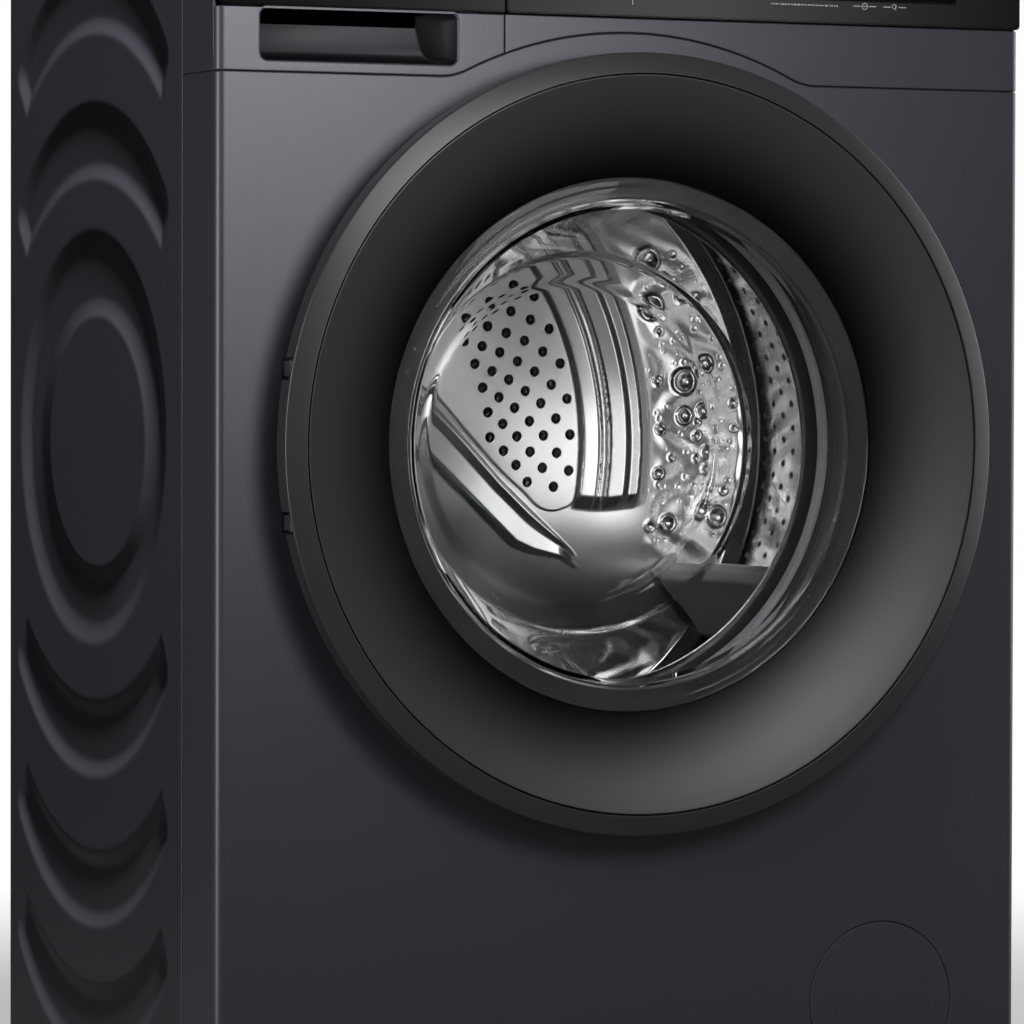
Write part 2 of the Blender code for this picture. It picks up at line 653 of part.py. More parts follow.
def make_water_parts():
    valve = block("inlet_valve", "white_plastic", (VALVE_X - 0.020, VALVE_X + 0.020), (0.3350, 0.3835),
                  (VALVE_Z - 0.018, VALVE_Z + 0.018))
    centre = axis_point(VALVE_X, VALVE_Z)
    join(
        valve,
        rod("valve_spigot", "white_plastic", 0.0132, centre, "Y", (0.380, 0.3955)),
        rod("valve_nozzle", "white_plastic", 0.0080, centre, "Y", (0.2563, 0.340), 12),
    )
    cut(valve, rod("spigot_bore", "white_plastic", 0.0095, centre, "Y", (0.370, 0.41)))
    inlet = block("mains_inlet", "dark_plastic", (INLET_X - 0.030, INLET_X + 0.030), (0.3350, 0.3835),
                  (VALVE_Z - 0.025, VALVE_Z + 0.025))
    mouth = axis_point(INLET_X, VALVE_Z)
    join(inlet, rod("cord_gland", "dark_plastic", 0.0102, mouth, "Y", (0.380, 0.3950)))
    cut(inlet, rod("gland_bore", "dark_plastic", 0.0045, mouth, "Y", (0.372, 0.41), 12))
    tube("dispenser_hose", "rubber_black", [(-0.185, 0.120, 0.7396), (-0.185, 0.120, 0.6668)], 0.0140)
    top, foot = (0.100, 0.100, 0.2205), (FILTER_X, 0.050, 0.1279)
    knots = ((0.100, 0.100, 0.200), (0.128, 0.085, 0.172), (0.170, 0.060, 0.158), (FILTER_X, 0.050, 0.144))
    tube("sump_hose", "rubber_black", [top, *smooth_route(knots, 2), foot], 0.0150)
    pump = axis_point(FILTER_X, FILTER_Z)
    turned("pump_body", "white_plastic",
           [(0, 0.0750), (0.0285, 0.0750), (0.0285, 0.0150), (0.0400, 0.0150), (0.0400, 0.0850),
            (0.0330, 0.0880), (0.0330, 0.1500), (0, 0.1500)],
           pump, segments=MIDDLE)
    drum = turned("pump_filter", "dark_plastic",
                  [(0, 0.0105), (0.0270, 0.0105), (0.0270, 0.0190), (0.0220, 0.0220), (0.0220, 0.0690),
                   (0, 0.0690)],
                  pump, segments=SMALL)
    join(drum, block("filter_grip", "dark_plastic", (FILTER_X - 0.022, FILTER_X + 0.022), (0.0060, 0.0120),
                     (FILTER_Z - 0.004, FILTER_Z + 0.004)))
    start = (FILTER_X + 0.0406, 0.070, FILTER_Z)
    route = ((FILTER_X + 0.052, 0.070, FILTER_Z), (0.262, 0.105, 0.092), (0.264, 0.180, 0.105),
             (0.262, 0.250, 0.125), (0.248, 0.330, 0.155), (DRAIN_END[0], 0.372, DRAIN_END[2]))
    tube("drain_hose", "rubber_black", [start, *smooth_route(route, 2), DRAIN_END], 0.0110)
    flap_hinge = (FILTER_X, FRONT_Y, FILTER_Z - FLAP_R)
    flap = rod("filter_flap", "cabinet_paint", FLAP_R, pump, "Y", (0.0, 0.0025), 32, at=flap_hinge)
    join(flap, block("flap_lug", "cabinet_paint", (FILTER_X - 0.012, FILTER_X + 0.012), (0.0020, 0.0050),
                     (FILTER_Z - 0.0515, FILTER_Z - 0.0440)))


def make_gasket():
    turned(
        "door_gasket", "rubber_grey",
        [(0.1632, 0.0013), (0.1920, 0.0013), (0.1920, 0.0050), (0.1860, 0.0070), (0.1990, 0.0180),
         (0.1990, 0.0330), (0.1830, 0.0410), (0.1830, 0.0565), (0.1785, 0.0565), (0.1785, 0.0385),
         (0.1950, 0.0305), (0.1950, 0.0205), (0.1800, 0.0085), (0.1632, 0.0060)],
        axis_point())


# Tub and suspension

SPRING_X = 0.190
SPRING_DEPTH = 0.275
SPRING_TAB = (SPRING_DEPTH - 0.013, SPRING_DEPTH + 0.013)
SPRING_Z = (0.6625, 0.7930)
DAMPER_X = 0.150
DAMPER_DEPTH = 0.225


def make_tub():
    centre = axis_point()
    turned(
        "tub_front", "tub_plastic",
        [(0.1740, 0.0520), (0.1780, 0.0520), (0.1780, 0.0570), (0.2480, 0.0570), (TUB_R, 0.0700),
         (TUB_R, 0.1840), (FLANGE_R, 0.1840), (FLANGE_R, 0.1902), (TUB_IN_R, 0.1902),
         (TUB_IN_R, 0.0720), (0.2460, 0.0605), (0.1740, 0.0605)],
        centre)
    rear = turned(
        "tub_rear", "tub_plastic",
        [(0.0308, 0.3140), (0.0450, 0.3140), (0.0450, 0.3180), (0.2400, 0.3180), (TUB_IN_R, 0.3000),
         (TUB_IN_R, 0.1905), (FLANGE_R, 0.1905), (FLANGE_R, 0.1960), (TUB_R, 0.1960),
         (TUB_R, 0.3020), (0.2420, 0.3215), (0.0450, 0.3215), (0.0450, 0.3450), (0.0308, 0.3450)],
        centre)
    for side, sign in (("left", -1), ("right", 1)):
        x = sorted((sign * (SPRING_X - 0.010), sign * (SPRING_X + 0.010)))
        join(rear, block(f"{side}_spring_lug", "tub_plastic", x, SPRING_TAB, (0.6400, SPRING_Z[0] - 0.0022)))
    turned("counterweight", "concrete",
           [(0.2030, 0.0240), (0.2540, 0.0240), (0.2570, 0.0270), (0.2570, 0.0480), (0.2470, 0.0566),
            (0.2030, 0.0566)],
           centre)
    for name, span in (("bearing_front", (0.3145, 0.3285)), ("bearing_rear", (0.3310, 0.3445))):
        turned(name, "steel", [(0.0125, span[0]), (0.0304, span[0]), (0.0304, span[1]), (0.0125, span[1])],
               centre, segments=MIDDLE)


def make_heater():
    reach = 0.2512
    x = 0.022
    z = AXIS_Z - math.sqrt(reach**2 - x**2)
    bend = [(x * math.cos(a), 0.125 - 0.022 * math.sin(a)) for a in (math.pi * i / 6 for i in range(7))]
    bottom = [(px, depth, AXIS_Z - math.sqrt(reach**2 - px**2)) for px, depth in bend]
    tube("heater", "steel", [(x, 0.2985, z), *bottom, (-x, 0.2985, z)], 0.0036, 1)


def make_suspension():
    for side, sign in (("left", -1), ("right", 1)):
        x = sign * SPRING_X
        turns, wire = 6, 0.0017
        steps = turns * 7
        low, high = SPRING_Z
        coil = [
            (x + 0.009 * math.cos(math.tau * i * turns / steps),
             SPRING_DEPTH + 0.009 * math.sin(math.tau * i * turns / steps),
             low + (high - low) * i / steps)
            for i in range(steps + 1)
        ]
        tube(f"spring_{side}", "steel", coil, wire, 0)
        place = (sign * DAMPER_X, behind(DAMPER_DEPTH), 0)
        turned(f"damper_cylinder_{side}", "dark_plastic",
               [(0, 0.0213), (0.0140, 0.0213), (0.0140, 0.1500), (0.0068, 0.1500), (0.0068, 0.0300),
                (0, 0.0300)],
               place, "Z", SMALL)
        turned(f"damper_rod_{side}", "steel",
               [(0, 0.1100), (0.0060, 0.1100), (0.0060, 0.2380), (0.0090, 0.2420), (0.0090, 0.2485),
                (0, 0.2485)],
               place, "Z", 12)


# Drum and drive


def make_drum():
    centre = axis_point()
    turned(
        "drum_shell", "stainless",
        [(0, 0.2985), (0.2350, 0.2955), (DRUM_R, 0.2850), (DRUM_R, 0.0860), (0.2260, 0.0728),
         (0.1660, 0.0688), (0.1660, 0.0705), (0.2253, 0.0746), (0.2437, 0.0868), (0.2437, 0.2843),
         (0.2342, 0.2938), (0, 0.2968)],
        centre)
    base, tip = 0.2410, 0.1880
    outline = [(-0.027, base), (-0.020, 0.225), (-0.008, tip + 0.002), (0, tip), (0.008, tip + 0.002),
               (0.020, 0.225), (0.027, base)]
    for index in range(LIFTERS):
        turn = Matrix.Rotation(math.tau * index / LIFTERS, 2)
        points = [turn @ Vector(p) + Vector((0, AXIS_Z)) for p in outline]
        prism(f"lifter_{'abc'[index]}", "tub_plastic", [tuple(p) for p in points], "Y",
              (behind(0.095), behind(0.284)), at=centre)
    star = []
    for index in range(3):
        for lean, radius in ((-30, 0.045), (-5.0, 0.225), (5.0, 0.225), (30, 0.045)):
            angle = math.radians(90 + 60 + 120 * index + lean)
            star.append((radius * math.cos(angle), AXIS_Z + radius * math.sin(angle)))
    spider = prism("drum_spider", "casting", star, "Y", (behind(0.2990), behind(0.3115)), at=centre)
    cut(spider, rod("spider_bore", "casting", 0.0127, centre, "Y", (0.29, 0.32), MIDDLE))
    rod("drum_shaft", "steel", 0.0122, centre, "Y", (0.2990, 0.3720), MIDDLE)


def make_drive():
    centre = axis_point()
    pulley = turned(
        "drum_pulley", "casting",
        [(0.0126, 0.3480), (0.0260, 0.3480), (0.0280, 0.3540), (0.1280, 0.3540), (0.1300, 0.3500),
         (PULLEY_R, 0.3500), (PULLEY_R, 0.3640), (0.1300, 0.3640), (0.1280, 0.3590), (0.0280, 0.3590),
         (0.0260, 0.3660), (0.0126, 0.3660)],
        centre, segments=30)
    for index in range(5):
        angle = math.tau * index / 5 + math.pi / 2
        hole = axis_point(0.080 * math.cos(angle), AXIS_Z + 0.080 * math.sin(angle))
        cut(pulley, rod(f"pulley_hole_{index}", "casting", 0.030, hole, "Y", (0.34, 0.37), 10))
    motor = axis_point(0, MOTOR_Z)
    body = turned(
        "motor_body", "casting",
        [(0.0068, 0.2150), (0.0460, 0.2150), (0.0520, 0.2250), (0.0520, 0.3250), (0.0460, 0.3350),
         (0.0068, 0.3350)],
        motor, segments=MIDDLE)
    join(body, block("motor_lug", "casting", (-0.025, 0.025), (0.245, 0.285), (0.180, 0.2078)))
    turned(
        "motor_rotor", "steel",
        [(0, 0.2100), (0.0062, 0.2100), (0.0062, 0.3490), (MOTOR_PULLEY_R, 0.3490),
         (MOTOR_PULLEY_R, 0.3650), (0, 0.3650)],
        motor, segments=SMALL)
    belt = prism("drive_belt", "rubber_black", belt_loop(0.0050), "Y", (behind(BELT[0]), behind(BELT[1])))
    cut(belt, prism("belt_inside_cutter", "rubber_black", belt_loop(0.0020), "Y",
                    (behind(BELT[0] - 0.01), behind(BELT[1] + 0.01))))


def belt_loop(offset):
    """The belt's run round both pulleys, this far outside their rims."""
    large, small = PULLEY_R + offset, MOTOR_PULLEY_R + offset
    lean = math.degrees(math.asin((large - small) / (AXIS_Z - MOTOR_Z)))
    top = arc((0, AXIS_Z), large, -lean, 180 + lean, 28)
    bottom = arc((0, MOTOR_Z), small, 180 + lean, 360 - lean, 6)
    return [*top, *bottom]


def clear_scene():
    for obj in list(bpy.data.objects):
        bpy.data.objects.remove(obj, do_unlink=True)


clear_scene()
make_front_panel()
make_upper_front_panel()
make_control_fascia()
make_controls()
make_side_panel("left_side_panel", -1)
make_side_panel("right_side_panel", 1)
make_back_panel()
make_base()
make_worktop()
make_door()
make_drawer_front()
make_drawer_tray()
make_dispenser_housing()
make_water_parts()
make_gasket()
make_tub()
make_heater()
make_suspension()
make_drum()
make_drive()
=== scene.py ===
"""Looks of the slim front load washing machine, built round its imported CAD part. Metres, +Z up."""

import json
import math
import random

import bmesh
import bpy
import numpy as np
from mathutils import Matrix, Vector

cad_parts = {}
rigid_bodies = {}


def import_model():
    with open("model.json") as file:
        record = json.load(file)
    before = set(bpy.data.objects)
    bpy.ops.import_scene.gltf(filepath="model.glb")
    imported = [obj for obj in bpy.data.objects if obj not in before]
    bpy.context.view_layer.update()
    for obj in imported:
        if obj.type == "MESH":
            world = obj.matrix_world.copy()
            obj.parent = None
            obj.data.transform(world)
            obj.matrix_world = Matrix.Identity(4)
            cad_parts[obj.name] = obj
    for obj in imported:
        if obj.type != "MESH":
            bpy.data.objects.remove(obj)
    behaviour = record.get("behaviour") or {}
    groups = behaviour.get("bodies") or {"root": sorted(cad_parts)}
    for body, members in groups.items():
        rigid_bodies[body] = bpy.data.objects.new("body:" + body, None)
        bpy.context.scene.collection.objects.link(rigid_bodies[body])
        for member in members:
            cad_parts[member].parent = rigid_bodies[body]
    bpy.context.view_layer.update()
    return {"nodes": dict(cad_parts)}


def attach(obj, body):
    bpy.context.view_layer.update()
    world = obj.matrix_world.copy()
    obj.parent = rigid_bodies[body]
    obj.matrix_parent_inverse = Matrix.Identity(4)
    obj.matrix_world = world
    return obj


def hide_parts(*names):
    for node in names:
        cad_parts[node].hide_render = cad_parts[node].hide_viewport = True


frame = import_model()
nodes = frame["nodes"]

HALF = 0.2975
FRONT_Y = -0.184  # outer face of the front panel
CORNER_R = 0.006
AXIS_Z = 0.469
CABINET_BOTTOM = 0.018
WRAP_DEPTH = 0.060
SIDE_REAR = 0.3963
SEAM_Z = 0.7115
SEAM_ARC_R = 0.2746
SEAM_FILLET_R = 0.045
FASCIA_Z = 0.7541
FASCIA_TOP = 0.8272
FASCIA_PROUD = 0.0015
SEAM_GAP = 0.0004
FASCIA_GAP = 0.0006
SPLIT_GAP = 0.0003  # on each side of the split
SPLIT_X = -0.0930
OPENING_R = 0.186
FILTER = (0.1918, 0.0875)
FLAP_R = 0.0541
SMOOTH = 192  # steps round the large rings
TAU = math.tau


def behind(depth):
    return FRONT_Y + depth


# Camera, stage and light

CAMERA_AT = (-1.61291, -3.49271, 0.51413)
CAMERA_TURNS = (24.7587, 1.408, 0.1453)  # yaw, pitch and roll in degrees
WORLD_STRENGTH = 0.06
FLOOR_R = 1.9


def add_camera():
    yaw, pitch, roll = (math.radians(a) for a in CAMERA_TURNS)
    forward = Vector((math.sin(yaw) * math.cos(pitch), math.cos(yaw) * math.cos(pitch), -math.sin(pitch)))
    level = Vector((math.cos(yaw), -math.sin(yaw), 0))
    upright = level.cross(forward)
    right = level * math.cos(roll) + upright * math.sin(roll)
    up = upright * math.cos(roll) - level * math.sin(roll)
    data = bpy.data.cameras.new("camera")
    data.lens = 193.417
    data.sensor_width = 36
    data.clip_end = 60
    made = bpy.data.objects.new("camera", data)
    turned_to = Matrix((right, up, -forward)).transposed().to_4x4()
    made.matrix_world = Matrix.Translation(CAMERA_AT) @ turned_to
    bpy.context.collection.objects.link(made)
    bpy.context.scene.camera = made


def add_light(name, at, towards, size, power, colour=(1, 1, 1), seen=True):
    data = bpy.data.lights.new(name, "AREA")
    data.shape = "RECTANGLE"
    data.size, data.size_y = size
    data.energy = power
    data.color = colour
    made = bpy.data.objects.new(name, data)
    made.location = at
    made.rotation_euler = (Vector(towards) - Vector(at)).to_track_quat("-Z", "Y").to_euler()
    made.visible_camera = False
    made.visible_transmission = seen
    bpy.context.collection.objects.link(made)
    return made


def add_node(tree, kind, **values):
    """A shader node; each value goes to the input of that name, with spaces for underscores."""
    made = tree.nodes.new(f"ShaderNode{kind}")
    for key, value in values.items():
        made.inputs[key.replace("_", " ")].default_value = value
    return made


def add_mixed_colour(tree, share, low, high):
    """A colour between two others by a share; each of the two is a tuple or a socket."""
    made = tree.nodes.new("ShaderNodeMix")
    made.data_type = "RGBA"
    tree.links.new(share, made.inputs[0])
    for socket, value in ((made.inputs[6], low), (made.inputs[7], high)):
        if isinstance(value, tuple):
            socket.default_value = (*value, 1)
        else:
            tree.links.new(value, socket)
    return made.outputs[2]


def linked(tree, *pairs):
    for source, socket in pairs:
        tree.links.new(source, socket)


def new_material(name):
    made = bpy.data.materials.new(name)
    made.use_nodes = True
    return made, made.node_tree, made.node_tree.nodes["Principled BSDF"]


def add_world():
    """White behind the machine, and for everything else a dim sky that is lighter above."""
    world = bpy.data.worlds.new("studio")
    bpy.context.scene.world = world
    world.use_nodes = True
    tree = world.node_tree
    tree.nodes.clear()
    out = add_node(tree, "OutputWorld")
    mix = add_node(tree, "MixShader")
    path = add_node(tree, "LightPath")
    seen = add_node(tree, "Background", Color=(1, 1, 1, 1), Strength=1.0)
    lit = add_node(tree, "Background", Strength=WORLD_STRENGTH)
    where = add_node(tree, "TexCoord")
    split = add_node(tree, "SeparateXYZ")
    height = add_node(tree, "MapRange", From_Min=-1)
    sky = add_node(tree, "ValToRGB")
    dark, light = sky.color_ramp.elements
    dark.position = 0.30
    dark.color = (0.012, 0.012, 0.013, 1)
    light.position = 0.95
    light.color = (0.30, 0.30, 0.31, 1)
    linked(tree, (where.outputs["Generated"], split.inputs[0]), (split.outputs["Z"], height.inputs[0]),
           (height.outputs[0], sky.inputs[0]), (sky.outputs[0], lit.inputs[0]),
           (path.outputs["Is Camera Ray"], mix.inputs[0]), (lit.outputs[0], mix.inputs[1]),
           (seen.outputs[0], mix.inputs[2]), (mix.outputs[0], out.inputs[0]))


def add_stage():
    """A round pale floor that fades out at its rim and throws little light back up."""
    bm = bmesh.new()
    bmesh.ops.create_circle(bm, cap_ends=True, cap_tris=False, segments=96, radius=FLOOR_R)
    mesh = bpy.data.meshes.new("floor")
    bm.to_mesh(mesh)
    bm.free()
    floor = bpy.data.objects.new("floor", mesh)
    floor.location = (0, 0, -0.0005)
    bpy.context.collection.objects.link(floor)
    made, tree, shader = new_material("pale_floor")
    shader.inputs["Roughness"].default_value = 0.6
    path = add_node(tree, "LightPath")
    colour = add_mixed_colour(tree, path.outputs["Is Camera Ray"], (0.22, 0.22, 0.22), (0.82, 0.82, 0.82))
    where = add_node(tree, "TexCoord")
    length = tree.nodes.new("ShaderNodeVectorMath")
    length.operation = "LENGTH"
    fade = add_node(tree, "MapRange", From_Min=0.75, From_Max=1.85)
    fade.interpolation_type = "SMOOTHSTEP"
    clear = add_node(tree, "BsdfTransparent")
    mix = add_node(tree, "MixShader")
    linked(tree, (colour, shader.inputs["Base Color"]), (where.outputs["Object"], length.inputs[0]),
           (length.outputs["Value"], fade.inputs[0]), (fade.outputs[0], mix.inputs[0]),
           (shader.outputs[0], mix.inputs[1]), (clear.outputs[0], mix.inputs[2]),
           (mix.outputs[0], tree.nodes["Material Output"].inputs[0]))
    mesh.materials.append(made)


KEY_TINT = (0.99, 0.98, 1.0)
LIGHTS = (
    # name, place, aim, size, power, tint
    ("key_softbox", (0.05, -1.05, 0.95), (-0.28, -0.18, 0.70), (0.30, 0.30), 3.3, KEY_TINT),
    ("near_key", (-0.22, -0.62, 0.90), (-0.28, -0.18, 0.65), (0.25, 0.25), 0.92, KEY_TINT),
    ("lower_key", (-0.08, -0.84, 0.62), (-0.31, -0.18, 0.62), (0.25, 0.30), 0.7, KEY_TINT),
    ("low_right_softbox", (0.75, -0.90, 0.15), (0.25, -0.18, 0.15), (0.30, 0.50), 0.16),
    ("dish_softbox", (0.27, -1.08, 0.74), (0.12, -0.18, 0.28), (0.25, 0.25), 1.3),
    ("side_strip", (-2.20, -0.60, 1.00), (-0.30, 0.0, 0.45), (0.60, 1.40), 5.0),
    ("rear_softbox", (0.7, 2.0, 1.8), (0, 0.2, 0.45), (1.4, 1.2), 30),
    ("right_softbox", (1.9, -0.05, 0.9), (0.3, -0.15, 0.45), (0.8, 1.6), 16),
    ("top_softbox", (0.0, 0.3, 2.6), (0, 0.1, 0.5), (1.0, 1.0), 4),
)
# Each of these reaches only the pieces that it is flagged to.
SIDE_GRAZER = ("side_grazer", (-0.50, -2.00, 3.04), (-0.30, 0.0, 0.45), (0.40, 0.40), 640, (1.0, 0.95, 1.08))
FASCIA_LIGHT = ("fascia_light", (0.46, -1.08, 0.84), (0.06, -0.18, 0.76), (0.20, 0.20), 0.75)
GLASS_STRIP = ("glass_strip", (-1.30, -2.40, 1.10), (0.0, -0.15, 0.47), (0.15, 1.00), 20)
CORNER_STRIPS = (
    ("left_corner_strip", (-1.60, -0.55, 0.60), (-0.30, -0.20, 0.45), (0.12, 1.20), 14.0),
    ("right_corner_strip", (2.10, -1.05, 0.60), (0.29, -0.20, 0.45), (0.06, 1.20), 2.5),
)
# These stand inside the drum and are seen only where the steel mirrors them.
DRUM_LIGHTS = (
    ("patch_light", (0.160, behind(0.135), 0.450), (0.090, behind(0.29), 0.450), (0.080, 0.090), 0.032),
    ("patch_fill", (0.110, behind(0.120), 0.525), (0.050, behind(0.29), 0.520), (0.200, 0.220), 0.030),
    ("rib_light", (0.205, behind(0.150), 0.490), (0.130, behind(0.29), 0.490), (0.030, 0.170), 0.040),
)


def flagged(light, state, *pieces):
    """Lets a light reach only some pieces (INCLUDE), or all but those pieces (EXCLUDE), as a flag would."""
    group = bpy.data.collections.new(f"{light.name}_flag")
    for made in pieces:
        group.objects.link(made)
    light.light_linking.receiver_collection = group
    for shaded in group.collection_objects:
        shaded.light_linking.link_state = state


def add_lights():
    for light in LIGHTS:
        add_light(*light)
    for light in DRUM_LIGHTS:
        add_light(*light, seen=False)


def flag_lights(left_side, glass):
    """Shares the front lights out over the pieces, once all the pieces are made."""
    objects = bpy.data.objects
    plates = [objects[name] for name in ("drawer_fascia_plate", "control_fascia_shell")]
    skins = [objects[name] for name in ("front_panel_skin", "upper_panel_skin", "drawer_front_skin",
                                        "filter_flap_skin", "door_bevel_ring", "upper_panel_strip_left")]
    pocket = objects["drawer_grip_pocket"]
    flagged(objects["key_softbox"], "EXCLUDE", pocket, *plates)
    flagged(objects["near_key"], "EXCLUDE", glass, pocket, *plates)
    flagged(objects["lower_key"], "EXCLUDE", glass, *plates)
    flagged(objects["dish_softbox"], "EXCLUDE", *plates)
    flagged(add_light(*SIDE_GRAZER), "INCLUDE", left_side)
    flagged(add_light(*FASCIA_LIGHT), "INCLUDE", *plates)
    flagged(add_light(*GLASS_STRIP), "INCLUDE", glass)
    for strip in CORNER_STRIPS:
        flagged(add_light(*strip), "INCLUDE", *skins)


# Materials


def finish(name, colour, rough, metal=0.0, grain=700.0, bump=0.00002, tint=0.10, gloss=0.06,
           stretch=(1, 1, 1), **sockets):
    """A procedural finish: fine grain in colour and height, and slow patches in the gloss."""
    made, tree, shader = new_material(name)
    shader.inputs["Metallic"].default_value = metal
    for key, value in sockets.items():
        shader.inputs[key.replace("_", " ")].default_value = value
    where = add_node(tree, "TexCoord")
    scaled = add_node(tree, "Mapping", Scale=stretch)
    fine = add_node(tree, "TexNoise", Scale=grain, Detail=3)
    slow = add_node(tree, "TexNoise", Scale=7, Detail=4)
    base = add_mixed_colour(tree, fine.outputs[0], tuple(c * (1 - tint) for c in colour),
                            tuple(min(1, c * (1 + tint)) for c in colour))
    patches = add_node(tree, "MapRange", To_Min=max(0.0, rough - gloss), To_Max=min(1.0, rough + gloss))
    linked(tree, (where.outputs["Object"], scaled.inputs[0]), (scaled.outputs[0], fine.inputs["Vector"]),
           (where.outputs["Object"], slow.inputs["Vector"]), (base, shader.inputs["Base Color"]),
           (slow.outputs[0], patches.inputs[0]), (patches.outputs[0], shader.inputs["Roughness"]))
    if bump:
        raised = add_node(tree, "Bump", Strength=0.6, Distance=bump)
        linked(tree, (fine.outputs[0], raised.inputs["Height"]), (raised.outputs[0], shader.inputs["Normal"]))
    return made


def clear_glass(name, colour):
    """Clear glass with a trace of unevenness; the low index keeps the drum clearly in view."""
    made, tree, shader = new_material(name)
    shader.inputs["Base Color"].default_value = (*colour, 1)
    shader.inputs["Transmission Weight"].default_value = 1
    shader.inputs["IOR"].default_value = 1.22
    where = add_node(tree, "TexCoord")
    slow = add_node(tree, "TexNoise", Scale=9)
    patches = add_node(tree, "MapRange", To_Min=0.0, To_Max=0.012)
    raised = add_node(tree, "Bump", Strength=0.25, Distance=0.002)
    linked(tree, (where.outputs["Object"], slow.inputs["Vector"]), (slow.outputs[0], patches.inputs[0]),
           (patches.outputs[0], shader.inputs["Roughness"]), (slow.outputs[0], raised.inputs["Height"]),
           (raised.outputs[0], shader.inputs["Normal"]))
    return made


def painted_shade_inwards(made, start, end, least):
    """Painted shade: dims a finish's colour and reflection towards the door's middle, full at the end radius
    and least at the start radius.
    """
    tree = made.node_tree
    shader = tree.nodes["Principled BSDF"]
    where = add_node(tree, "TexCoord")
    steps = []
    for operation, value in (("SUBTRACT", (0, 0, AXIS_Z)), ("MULTIPLY", (1, 0, 1)), ("LENGTH", None)):
        step = tree.nodes.new("ShaderNodeVectorMath")
        step.operation = operation
        if value:
            step.inputs[1].default_value = value
        steps.append(step)
    centred, flat, far = steps
    share = add_node(tree, "MapRange", From_Min=start, From_Max=end, To_Min=least)
    share.interpolation_type = "SMOOTHSTEP"
    level = tree.nodes.new("ShaderNodeMath")
    level.operation = "MULTIPLY"
    level.inputs[1].default_value = shader.inputs["Specular IOR Level"].default_value
    colour = shader.inputs["Base Color"].links[0].from_socket
    dimmed = add_mixed_colour(tree, share.outputs[0], (0, 0, 0), colour)
    linked(tree, (where.outputs["Object"], centred.inputs[0]), (centred.outputs[0], flat.inputs[0]),
           (flat.outputs[0], far.inputs[0]), (far.outputs["Value"], share.inputs["Value"]),
           (share.outputs[0], level.inputs[0]), (level.outputs[0], shader.inputs["Specular IOR Level"]),
           (dimmed, shader.inputs["Base Color"]))
    return made


def plain(name, colour, rough, metal, grain, bump, tint, gloss, **more):
    """One entry of the table of finishes."""
    return name, finish(name, colour, rough, metal, grain, bump, tint, gloss, **more)


